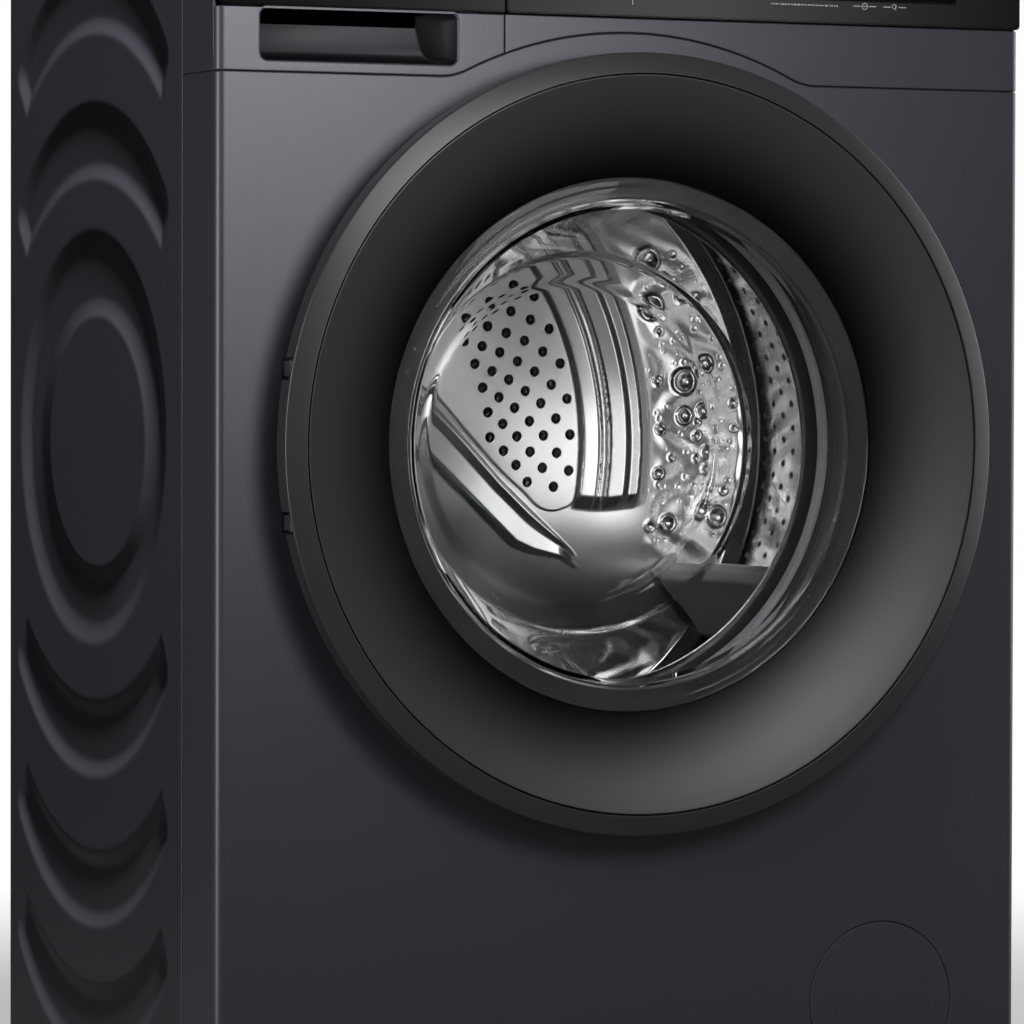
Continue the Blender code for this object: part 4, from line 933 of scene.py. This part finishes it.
def side_relief(points):
    """How deep the side is pressed in at each (depth, height) point."""
    deep = np.zeros(len(points))
    for top, way in CRESCENT_TOPS:
        loop = crescent(top, way)
        near = (points[:, 1] > loop[:, 1].min() - 0.01) & (points[:, 1] < loop[:, 1].max() + 0.01)
        gap = inside_distance(points[near], loop)
        deep[near] = np.maximum(deep[near], 0.0030 * ramp((gap - 0.001) / 0.0105))
    ring = np.hypot(points[:, 0] - 0.2319, points[:, 1] - 0.4722)
    outer = ramp((0.1412 - ring) / 0.0140)
    pad_out = np.hypot((points[:, 0] - 0.2244) / 0.1142, (points[:, 1] - 0.4699) / 0.0974)
    pad_in = np.hypot((points[:, 0] - 0.2213) / 0.0926, (points[:, 1] - 0.4690) / 0.0858)
    share = (1 - pad_in) / np.minimum(-1e-6, pad_out - pad_in)
    inner = np.where(pad_out >= 1, 0, np.where(pad_in <= 1, 1, ramp(1 - np.clip(share, 0, 1), 0.08)))
    return np.maximum(deep, 0.0030 * outer * (1 - inner))


def make_side(name, sign):
    front, rear = 0.0608, SIDE_REAR
    roll = 0.0008
    turn = [roll * (1 - math.cos(a)) for a in (math.pi / 2 * k / 4 for k in range(5))]
    inner = np.arange(front + roll, rear - roll, 0.0019)
    depth = [*(front + t for t in turn[:-1]), *inner, *(rear - t for t in reversed(turn))]
    edge = [roll - math.sqrt(max(0, roll**2 - (roll - t) ** 2)) for t in turn]
    drop = [*edge[:-1], *np.zeros(len(inner)), *reversed(edge)]
    height = np.linspace(CABINET_BOTTOM, FASCIA_TOP, 430)
    grid = np.array([(d, z) for z in height for d in depth])
    deep = side_relief(grid).reshape(len(height), len(depth)) + np.array(drop)
    bm = bmesh.new()
    rows = []
    for z, row in zip(height, deep):
        line = [(behind(d), h) for d, h in zip(depth, row)]
        line = [(behind(front), 0.012), (behind(front), 0.004), *line, (behind(rear), 0.004),
                (behind(rear), 0.012)]
        rows.append([bm.verts.new((sign * (HALF - h), y, z)) for y, h in line])
    joined(bm, rows, closed=False)
    low = sorted((sign * (HALF - 0.0045), sign * 0.178))
    box(bm, (low[0], behind(0.262), 0.7960), (low[1], behind(0.288), 0.7980), 0.0004)
    return piece(made_from(f"{name}_skin", bm, "side_paint", 40), "cabinet", "side_paint", name)


def make_worktop():
    bm = bmesh.new()
    outline = spread(rounded((-HALF, HALF), (behind(0), behind(0.400)), 0.008, 10), 0.03)
    low, high = FASCIA_TOP + 0.0003, 0.850

    def place(a, b, inwards):
        return (a, b, high - inwards)

    plate(bm, outline, [], place, roll=0.0030, thickness=high - low, steps=6)
    sheet_piece("worktop_board", bm, "worktop_dark", "cabinet", "worktop")


def make_flap():
    bm = bmesh.new()
    outline = circle(FILTER, FLAP_R, 160)
    plate(bm, outline, [], on_front, roll=0.0004, thickness=0.0025)
    box(bm, on_front(FILTER[0] - 0.012, FILTER[1] - 0.0515, 0.0022),
        on_front(FILTER[0] + 0.012, FILTER[1] - 0.0440, 0.0050), 0.0004)
    sheet_piece("filter_flap_skin", bm, "cabinet_paint", "flap", "filter_flap")


def make_feet():
    for node, (x, depth) in {
        "foot_front_left": (-0.250, 0.050), "foot_front_right": (0.250, 0.050),
        "foot_rear_left": (-0.250, 0.340), "foot_rear_right": (0.250, 0.340)}.items():
        bm = bmesh.new()
        thread = [(0.0060 - 0.0005 * (k % 2), 0.0125 + 0.00075 * k) for k in range(28)]
        spun(bm, filleted([(0, 0), (0.0185, 0, 0.001), (0.0205, 0.0024, 0.001), (0.0205, 0.0066, 0.001),
                           (0.0120, 0.0090, 0.001), (0.0095, 0.0104, 0.0006), (0.0060, 0.0112), *thread,
                           (0.0050, 0.0340), (0, 0.0340)]), (x, behind(depth), 0), "Z", 48, False)
        piece(made_from(f"{node}_pad", bm, "foot_rubber"), "cabinet", "foot_rubber", node)
        bm = bmesh.new()
        push(bm, circle((x, behind(depth)), 0.0105, 6), lambda a, b, d: (a, b, d), (0.0120, 0.0168))
        piece(made_from(f"{node}_nut", bm, "zinc_sheet"), "cabinet", "zinc_sheet")


VALVE = (-0.150, 0.785)
INLET = (0.200, 0.785)
DRAIN = (0.240, 0.160)


def make_back():
    side = HALF - 0.0012
    bm = bmesh.new()
    holes = [circle((0, AXIS_Z), 0.1950, 96), circle(VALVE, 0.0138, 40), circle(INLET, 0.0108, 40),
             circle(DRAIN, 0.0125, 40)]
    outline = spread([(-side, CABINET_BOTTOM), (side, CABINET_BOTTOM),
                      (side, FASCIA_TOP), (-side, FASCIA_TOP)], 0.04)

    def place(a, b, inwards):
        return (a, behind(0.3848 - inwards), b)

    plate(bm, outline, holes, place, roll=0.0006, hole_roll=0.0003, thickness=0.0008)
    sheet_piece("back_sheet", bm, "zinc_sheet", "cabinet", "back_panel")
    made = turned("belt_cover", "zinc_sheet", [
        (0, 0.3908), (0.110, 0.3908), (0.114, 0.3898, 0.002), (0.126, 0.3898, 0.002), (0.130, 0.3908),
        (0.1900, 0.3908, 0.004), (0.1900, 0.3847, 0.0015), (0.1965, 0.3847), (0.1965, 0.3842),
        (0.1885, 0.3842), (0.1885, 0.3900, 0.003), (0, 0.3894)])
    piece(made, "cabinet", "zinc_sheet")
    bm = bmesh.new()
    for x, lowest in ((-0.262, 0.075), (0.262, 0.200)):
        for low, high in ((lowest, 0.300), (0.330, 0.600), (0.630, 0.730)):
            add_bead(bm, x, low, high)
    piece(made_from("back_beads", bm, "zinc_sheet", 60), "cabinet", "zinc_sheet")
    bm = bmesh.new()
    spots = [(x, z) for x in (-0.289, 0.289) for z in (0.035, 0.210, 0.400, 0.600, 0.780)]
    spots += [(x, z) for z in (0.026, 0.820) for x in (-0.18, 0.0, 0.18)]
    spots += [(0.205 * math.cos(a), AXIS_Z + 0.205 * math.sin(a)) for a in turn_steps(6, 0.5)]
    for x, z in spots:
        screw(bm, (x, behind(0.3848), z), 0.0042, 0.0026)
    piece(made_from("back_screws", bm, "bright_steel"), "cabinet", "bright_steel")
    bm = bmesh.new()
    for k in range(7):
        for x in (-0.060, 0.020):
            z = 0.090 + 0.010 * k
            box(bm, (x, behind(0.3846), z), (x + 0.050, behind(0.3866), z + 0.004), 0.0008)
    piece(made_from("back_louvres", bm, "zinc_sheet"), "cabinet", "zinc_sheet")


def add_bead(bm, x, low, high, steps=14):
    """Adds a stiffening bead that runs up the back."""
    rows = []
    for k in range(steps + 1):
        rise = 0.0028 * math.sin(math.pi * (k / steps) ** 0.6)
        z = low + (high - low) * k / steps
        rows.append([bm.verts.new((x + 0.009 * math.cos(t), behind(0.3847 + rise * math.sin(t)), z))
                     for t in (math.pi * i / 10 for i in range(11))])
    joined(bm, rows, closed=False)


def screw(bm, at, radius, tall):
    """Adds a round screw head with a recess, which stands out towards the back."""
    profile = filleted([(0.0, tall * 0.45), (radius * 0.28, tall * 0.45), (radius * 0.34, tall, 0.0002),
                        (radius * 0.7, tall * 0.86), (radius, tall * 0.40, 0.0004), (radius, 0), (0, 0)])
    spun(bm, profile, at, "Y", 20, False)


# Door

HINGE_X = -0.2485
KNUCKLE_Z = 0.050


def carved(made, *cuts):
    """The object with boxes, each its low and high corners, cut out of it."""
    bm = bmesh.new()
    for low, high in cuts:
        box(bm, low, high)
    tool_mesh = bpy.data.meshes.new("tool")
    bm.to_mesh(tool_mesh)
    bm.free()
    tool = bpy.data.objects.new("tool", tool_mesh)
    bpy.context.collection.objects.link(tool)
    modifier = made.modifiers.new("cut", "BOOLEAN")
    modifier.object = tool
    modifier.solver = "EXACT"
    bpy.context.view_layer.update()
    whole = made.data
    made.data = bpy.data.meshes.new_from_object(made.evaluated_get(bpy.context.evaluated_depsgraph_get()))
    made.modifiers.clear()
    bpy.data.meshes.remove(whole)
    bpy.data.objects.remove(tool)
    bpy.data.meshes.remove(tool_mesh)
    made.data.set_sharp_from_angle(angle=math.radians(34))
    return made


def make_door():
    ring = turned("door_bevel_ring", "door_black", [
        (0.2605, -0.0126, 0.0003), (0.2605, -0.0269, 0.0016), (0.24668, -0.0320, 0.0005),
        (0.24638, -0.0290, 0.0003), (0.2570, -0.0254, 0.0006), (0.2573, -0.0126)], steps=256)
    notches = [((HINGE_X - 0.020, behind(-0.0252), AXIS_Z + side * KNUCKLE_Z - 0.0075),
                (HINGE_X + 0.006, behind(0.001), AXIS_Z + side * KNUCKLE_Z + 0.0075)) for side in (-1, 1)]
    piece(carved(ring, *notches), "door", "door_black", "door_ring")

    def curve(by, steps):
        return [(0.1784 + 0.0673 * t, -0.0060 - 0.0255 * (t + 0.25 * t * (1 - t)) + by)
                for t in (1 - k / steps for k in range(steps + 1))]

    profile = [(0.2457, -0.0293), (0.2457, -0.0315, 0.0010), *curve(0, 44)[1:-1], (0.1784, -0.0060, 0.0004),
               (0.1784, -0.0040), *reversed(curve(0.0022, 20)[:-1])]
    made = turned("door_dish_shell", "dish_black", profile, steps=256, closed=True)
    piece(made, "door", "door_black", "door_dish")

    frame_made = turned("door_inner_frame", "door_black", [
        (0.1862, -0.0052), (0.2002, -0.0120, 0.0006), (0.2475, -0.0120, 0.0006), (0.2475, -0.0012, 0.0014),
        (0.2405, -0.0012, 0.0005), (0.2398, -0.0020, 0.0005), (0.2372, -0.0020, 0.0005),
        (0.2365, -0.0012, 0.0005), (0.1970, -0.0012, 0.0005), (0.1962, -0.0018, 0.0005),
        (0.1900, -0.0018, 0.0005), (0.1892, -0.0012, 0.0005),
        (0.1640, -0.0012, 0.0004), (0.1640, -0.0024, 0.0004), (0.1862, -0.0024)])
    window = ((0.2070, behind(-0.02), AXIS_Z - 0.0115), (0.2290, behind(0.01), AXIS_Z + 0.0115))
    seat = ((-0.26, behind(-0.02), AXIS_Z - 0.0455), (-0.2285, behind(-0.0088), AXIS_Z + 0.0455))
    piece(carved(frame_made, window, seat), "door", "door_black", "door_back_frame")
    bm = bmesh.new()
    for a in turn_steps(8, 0.5):
        screw(bm, (0.2180 * math.cos(a), behind(-0.0013), AXIS_Z + 0.2180 * math.sin(a)), 0.0036, 0.0016)
    piece(made_from("door_frame_screws", bm, "bright_steel"), "door", "bright_steel")

    made = turned("door_glass_bowl", "door_glass", [
        (0, 0.0990), (0.030, 0.0987), (0.060, 0.0975, 0.012), (0.108, 0.0915, 0.012), (0.1275, 0.0780, 0.010),
        (0.1572, 0.0000, 0.004), (0.1602, -0.0052, 0.002), (0.1628, -0.0064, 0.0012),
        (0.1660, -0.0062, 0.0010), (0.1672, -0.0069, 0.0008), (0.1718, -0.0067, 0.0010),
        (0.1730, -0.0059, 0.0008), (0.1778, -0.0056, 0.0004), (0.1778, -0.0028, 0.0004),
        (0.1640, -0.0028, 0.0010), (0.1612, -0.0006, 0.002), (0.1325, 0.0790, 0.012), (0.113, 0.0945, 0.014),
        (0.062, 0.1015, 0.014), (0.030, 0.1026), (0, 0.1030)], steps=224)
    return piece(made, "door", "door_glass", "door_glass")


def make_gasket():
    made = turned("gasket_bellows", "gasket_rubber", [
        (0.1632, 0.0013, 0.0003), (0.1700, 0.0013), (0.1712, 0.0022, 0.0005), (0.1730, 0.0022, 0.0005),
        (0.1742, 0.0013), (0.1920, 0.0013, 0.001), (0.1920, 0.0050, 0.001), (0.1862, 0.0068, 0.0012),
        (0.1990, 0.0180, 0.004), (0.1990, 0.0330, 0.004), (0.1830, 0.0410, 0.003), (0.1830, 0.0565, 0.0008),
        (0.1785, 0.0565, 0.0008), (0.1785, 0.0490, 0.0005), (0.1776, 0.0470, 0.0008),
        (0.1785, 0.0450, 0.0005), (0.1785, 0.0385, 0.002), (0.1950, 0.0305, 0.003),
        (0.1950, 0.0205, 0.003), (0.1880, 0.0150, 0.002),
        (0.1868, 0.0134, 0.001), (0.1850, 0.0130, 0.001), (0.1800, 0.0085, 0.003), (0.1632, 0.0060, 0.0008)])
    piece(made, "cabinet", "gasket_rubber", "door_gasket")


# Drum

RIB_CENTRE = (-0.115, -0.0025)
RIBS = (
    (0.2125, 0), (0.2157, 0.0030), (0.2180, 0.0045), (0.2290, 0.0045), (0.2310, 0.0030), (0.2330, 0.0045),
    (0.2365, 0.0040), (0.2377, 0.0010), (0.2395, 0.0042), (0.2500, 0.0062), (0.2560, 0.0040),
    (0.2620, 0.0058), (0.2650, 0.0015), (0.2720, 0),
)
VANE_TOP = ((-0.060, 0.070), (-0.029, 0.039), (0.006, 0.004), (0.037, -0.029), (0.098, -0.084))
VANE_BOTTOM = ((-0.070, 0.025), (-0.027, -0.009), (0.045, -0.076), (0.061, -0.082), (0.085, -0.086),
               (0.101, -0.096))
HOLE_EDGE = ((0.032, 0.128), (0.000, 0.100), (-0.002, 0.085), (0.016, 0.054), (0.026, 0.019), (0.028, 0.001),
             (0.057, -0.031), (0.078, -0.034), (0.091, -0.023))
PLATE_DEPTH = 0.2910  # of the pressed plate at the drum's back
PLATE_R = 0.2325


def polyline_gap(points, line):
    """How far each point is from a line of points."""
    best = np.full(len(points), 1e9)
    line = np.array(line)
    for a, b in zip(line, line[1:]):
        edge = b - a
        t = np.clip(((points - a) @ edge) / (edge @ edge), 0, 1)
        gap = points - a - t[:, None] * edge
        best = np.minimum(best, np.hypot(gap[:, 0], gap[:, 1]))
    return best


def bubbles():
    """Places and sizes of the pressed rings and pits on the right of the drum's back."""
    rng = random.Random(11)
    found = []
    for size, count in ((0.0078, 5), (0.0055, 7), (0.0036, 16), (0.0020, 46), (0.0011, 90)):
        tries = 0
        made = 0
        while made < count and tries < 4000:
            tries += 1
            x, z = rng.uniform(0.150, 0.226), rng.uniform(-0.076, 0.135)
            radius = size * rng.uniform(0.8, 1.2)
            far = math.hypot(x, z)
            rib = math.hypot(x - RIB_CENTRE[0], z - RIB_CENTRE[1])
            if far > 0.231 - radius or rib < 0.274 + radius:
                continue
            if any(math.hypot(x - a, z - b) < radius + c + 0.0006 for a, b, c in found):
                continue
            found.append((x, z, radius))
            made += 1
    return found


def dome(x, z):
    """How far the whole plate bulges forward."""
    return 0.0012 * np.cos(x * 14) * np.cos(z * 12)


def plate_relief(points):
    """How far the drum's back plate stands forward at each (x, height above the axis) point."""
    reach = np.hypot(points[:, 0] - RIB_CENTRE[0], points[:, 1] - RIB_CENTRE[1])
    radii, tall = zip(*RIBS)
    ribs = np.interp(reach, radii, tall)
    ends = -0.053 + 0.10 * np.clip(np.abs(reach - 0.236) - 0.004, 0, 0.2)
    lasting = eased((points[:, 1] - ends) / 0.012) * eased((0.165 - points[:, 1]) / 0.02)
    ribs = ribs * lasting * (points[:, 0] > 0)
    upper, lower = np.array(VANE_TOP), np.array(VANE_BOTTOM)
    loop = np.vstack([upper, lower[::-1]])
    inside = inside_distance(points, loop) > 0
    top, bottom = polyline_gap(points, upper), polyline_gap(points, lower)
    share = np.where(inside, top / np.maximum(1e-6, top + bottom), 0)
    vane = np.interp(share, (0, 0.10, 0.16, 0.35, 0.62, 0.86, 0.93, 1),
                     (0, 0.0058, 0.0064, 0.0044, 0.0052, 0.0060, 0.0048, 0))
    vane *= eased((0.100 - points[:, 0]) / 0.02)
    bumps = np.zeros(len(points))
    for x, z, radius in bubbles():
        near = np.hypot(points[:, 0] - x, points[:, 1] - z) / radius
        ridge = np.exp(-((near - 0.88) / 0.20) ** 2)
        bumps += np.where(near < 2, radius * (0.26 * ridge - 0.30 * np.exp(-(near / 0.5) ** 2)), 0)
    swell = 0.0006 * np.sin(points[:, 0] * 160 + 3 * np.sin(points[:, 1] * 90))
    swell *= np.sin(points[:, 1] * 120 + 1.3)
    swell *= eased((reach - 0.275) / 0.01)
    return np.maximum(ribs, vane) + bumps + swell + dome(points[:, 0], points[:, 1])


def back_plate():
    """The pressed plate as a square net, cut to a circle and sunk under the perforated patch."""
    rows = np.arange(-0.232, 0.2321, 0.0009)
    bm = bmesh.new()
    grid = np.array([(x, z) for z in rows for x in rows])
    far = np.hypot(grid[:, 0], grid[:, 1])
    under = inside_distance(grid, np.array(PATCH)) > 0.0016
    tall = np.where(under, -0.0030, plate_relief(grid)) * eased((PLATE_R - far) / 0.006)
    verts = {}
    for k in np.flatnonzero(far < PLATE_R):
        verts[k] = bm.verts.new((grid[k, 0], behind(PLATE_DEPTH - tall[k]), AXIS_Z + grid[k, 1]))
    width = len(rows)
    for k in verts:
        corners = (k, k + 1, k + width + 1, k + width)
        if (k % width) + 1 < width and all(c in verts for c in corners):
            bm.faces.new([verts[c] for c in corners])
    return bm


def patch_outline():
    right = arc(RIB_CENTRE, 0.2150, -11.2, 44, 40)
    bottom = [(0.0866, -0.0511), (0.0754, -0.0525), (0.0651, -0.0488), (0.0531, -0.0379)]
    vane = [(0.0385, -0.0255), (0.0230, -0.0100), (0.0070, 0.0075), (-0.0090, 0.0250), (-0.0280, 0.0430)]
    left = [(-0.0480, 0.0640), (-0.0560, 0.0900), (-0.0540, 0.1200), (-0.0380, 0.1420), (-0.0050, 0.1520)]
    corners = [*right[::5], (0.0150, 0.1525), *left[::-1], *vane[::-1], *bottom[::-1]]
    return [tuple(p) for p in smooth_loop(corners)]


def hole_places():
    region = np.array([*HOLE_EDGE, *arc(RIB_CENTRE, 0.2125, -6, 38, 20)])
    found = []
    for k in range(8):
        radius = 0.207 - 0.0107 * k
        for j in range(16):
            angle = math.radians((37.9 if k % 2 == 0 else 41.4) - 7.25 * j)
            spot = (RIB_CENTRE[0] + radius * math.cos(angle), RIB_CENTRE[1] + radius * math.sin(angle))
            if inside_distance(np.array([spot]), region)[0] > -0.0012:
                found.append(spot)
    return found


PATCH = patch_outline()


def make_drum():
    made = turned("drum_barrel", "drum_steel", [
        (0, 0.2985), (0.120, 0.2970), (0.2350, 0.2955, 0.003), (0.2455, 0.2850, 0.004),
        (0.2455, 0.0860, 0.004), (0.2260, 0.0728, 0.003), (0.1660, 0.0688, 0.001),
        (0.1660, 0.0705, 0.001), (0.1720, 0.0709),
        (0.1760, 0.0735, 0.0015), (0.1800, 0.0716), (0.2253, 0.0746, 0.003), (0.2437, 0.0868, 0.004),
        (0.2437, 0.2843, 0.004), (0.2342, 0.2940, 0.003), (0, 0.2962)])
    piece(made, "drum", "drum_steel", "drum_shell")
    piece(made_from("drum_back_pressing", back_plate(), "pressed_steel", 60), "drum", "drum_steel")

    def on_plate(a, b, inwards):
        return (a, behind(PLATE_DEPTH - 0.0016 + inwards - dome(a, b)), AXIS_Z + b)

    spots = hole_places()
    bm = bmesh.new()
    plate(bm, PATCH, [circle(p, 0.0035, 24) for p in spots], on_plate, roll=0.0022, hole_roll=0.0007,
          thickness=0.0024, steps=5)
    piece(weighted(made_from("drum_perforated_patch", bm, "patch_steel", 60)), "drum", "drum_steel")
    # Each hole gets a cup and a small stud of dark steel, painted shade for the open hole.
    bm = bmesh.new()
    for x, z in spots:
        cup = [(0.0039, 0.0012), (0.0038, 0.0018), (0.0034, 0.0026), (0.0024, 0.0034), (0, 0.0037)]
        floor = on_plate(x, z, 0)
        spun(bm, cup, floor, "Y", 20, False)
        spun(bm, filleted([(0, 0.0004), (0.0012, 0.0010, 0.0006), (0.0015, 0.0030), (0, 0.0030)]),
             (floor[0] + 0.0004, floor[1], floor[2] - 0.0002), "Y", 14, False)
    piece(made_from("drum_patch_dimples", bm, "dimple_shade_steel", 60), "drum", "drum_steel")

    # The rims go in one mesh; the black discs of painted shade in the holes go in the other.
    rim, dark = bmesh.new(), bmesh.new()
    for row in range(13):
        depth = 0.100 + 0.0145 * row
        for k in range(88):
            a = TAU * (k + 0.5 * (row % 2)) / 88
            lean = math.degrees(a) % 120
            if min(abs(lean - 90), abs(lean + 30), abs(lean - 210)) < 8.5:
                continue
            eyelet(rim, dark, a, depth, 0.2437)
    for row in range(8):
        far = 0.085 + 0.017 * row
        count = round(TAU * far / 0.021)
        for k in range(count):
            a = TAU * (k + 0.5 * (row % 2)) / count
            x, z = far * math.cos(a), far * math.sin(a)
            if x < -0.076 and abs(z) < 0.205:
                button(rim, dark, x, z)
    piece(made_from("drum_eyelets", rim, "drum_steel", 60), "drum", "drum_steel")
    piece(made_from("drum_hole_shadows", dark, "painted_hole_shade", 60), "drum", "drum_steel")


def eyelet(rim, dark, angle, depth, radius):
    """Adds a hole with a drawn rim to the drum's wall, and a black disc of painted shade inside it."""
    out = Vector((math.cos(angle), 0, math.sin(angle)))
    across = Vector((-math.sin(angle), 0, math.cos(angle)))
    back = Vector((0, 1, 0))
    middle = Vector((0, behind(depth), AXIS_Z)) + out * radius

    def ring(bm, size, rise):
        return [bm.verts.new(middle + size * (across * math.cos(t) + back * math.sin(t)) - out * rise)
                for t in turn_steps(12)]

    joined(rim, [ring(rim, *size) for size in ((0.0030, 0.0), (0.0023, 0.0006), (0.0018, 0.0003))])
    dark.faces.new(ring(dark, 0.0019, 0.00025))


def button(rim, dark, x, z):
    """Adds a hole with a drawn rim to the plate at the drum's back, and a black disc of painted shade inside
    it.
    """
    base = PLATE_DEPTH - dome(x, z)

    def ring(bm, size, rise):
        return [bm.verts.new((x + size * math.cos(t), behind(base - rise), AXIS_Z + z + size * math.sin(t)))
                for t in turn_steps(14)]

    joined(rim, [ring(rim, *size) for size in ((0.0034, -0.0002), (0.0027, 0.0007), (0.0021, 0.0003))])
    dark.faces.new(ring(dark, 0.0022, 0.00028))


def make_lifters():
    base, tip = 0.2410, 0.1880
    section = filleted([(-0.027, base), (-0.020, 0.225, 0.010), (-0.008, tip + 0.002, 0.006),
                        (0, tip, 0.004), (0.008, tip + 0.002, 0.006), (0.020, 0.225, 0.010), (0.027, base)])
    # depth, and how much of the full height the lifter has there
    sections = ((0.0950, 0.30), (0.0962, 0.55), (0.0985, 0.78), (0.1040, 0.93), (0.1120, 1.0), (0.2840, 1.0))
    for index, name in enumerate("abc"):
        turn = Matrix.Rotation(TAU * index / 3, 2)
        bm = bmesh.new()
        loops = []
        for depth, share in sections:
            row = []
            for x, r in section:
                p = turn @ Vector((x * (0.8 + 0.2 * share), base - (base - r) * share))
                row.append(bm.verts.new((p.x, behind(depth), AXIS_Z + p.y)))
            loops.append(row)
        joined(bm, loops, ends=True)
        made = made_from(f"lifter_{name}_blade", bm, "lifter_plastic", 50)
        piece(made, "drum", "lifter_plastic", f"lifter_{name}")


# Inside the cabinet


def make_inside():
    made = turned("tub_front_shell", "tub_plastic", [
        (0.1740, 0.0520, 0.0008), (0.1780, 0.0520, 0.0008), (0.1780, 0.0570, 0.001), (0.2480, 0.0570, 0.002),
        (0.2605, 0.0700, 0.006), (0.2605, 0.1000, 0.001), (0.2600, 0.1010), (0.2600, 0.1210),
        (0.2605, 0.1220), (0.2605, 0.1840, 0.001), (0.2680, 0.1840, 0.0008), (0.2680, 0.1902, 0.0008),
        (0.2570, 0.1902), (0.2570, 0.0720, 0.004), (0.2460, 0.0605, 0.004), (0.1740, 0.0605, 0.0008)])
    piece(made, "tub", "tub_plastic", "tub_front")
    made = turned("weight_ring", "concrete", [
        (0.2030, 0.0240, 0.003), (0.2540, 0.0240, 0.002), (0.2570, 0.0270, 0.002), (0.2570, 0.0480, 0.003),
        (0.2470, 0.0566, 0.003), (0.2030, 0.0566, 0.003)])
    piece(made, "tub", "concrete", "counterweight")


def dress():
    """Finishes, and softened edges, for the nodes that keep their own meshes."""
    looks = {
        "dark_plastic": ("base_tray", "door_lock", "mains_inlet", "damper_cylinder_left",
                         "damper_cylinder_right", "pump_filter"),
        "circuit_board": ("control_board",), "hinge_casting": ("hinge_bracket", "hinge_arm"),
        "white_plastic": ("inlet_valve", "dispenser_housing", "pump_body", "drawer_tray"),
        "hose_rubber": ("dispenser_hose", "sump_hose", "drain_hose", "drive_belt"),
        "bright_steel": ("spring_left", "spring_right", "heater", "bearing_front", "bearing_rear",
                         "damper_rod_left", "damper_rod_right", "drum_shaft", "motor_rotor", "hinge_pin",
                         "door_hook"),
        "tub_plastic": ("tub_rear",), "aluminium_casting": ("motor_body", "drum_spider", "drum_pulley"),
    }
    smooth = {"drain_hose", "sump_hose", "dispenser_hose", "drive_belt",
              "spring_left", "spring_right", "heater"}
    for look, names in looks.items():
        for name in names:
            node = nodes[name]
            node.data.materials.clear()
            node.data.materials.append(MATERIALS[look])
            if name in smooth:
                continue
            bevel = node.modifiers.new("edges", "BEVEL")
            bevel.width = 0.0004
            bevel.segments = 2
            bevel.limit_method = "ANGLE"
            bevel.angle_limit = math.radians(50)
            bevel.harden_normals = False


add_camera()
add_world()
add_stage()
add_lights()
bpy.context.scene.view_settings.view_transform = "Standard"

make_front_panel()
make_upper_front_panel()
make_drawer_front()
make_fascia()
make_controls()
left_side = make_side("left_side_panel", -1)
make_side("right_side_panel", 1)
make_worktop()
make_flap()
make_feet()
make_back()
glass = make_door()
flag_lights(left_side, glass)
make_gasket()
make_drum()
make_lifters()
make_inside()
dress()
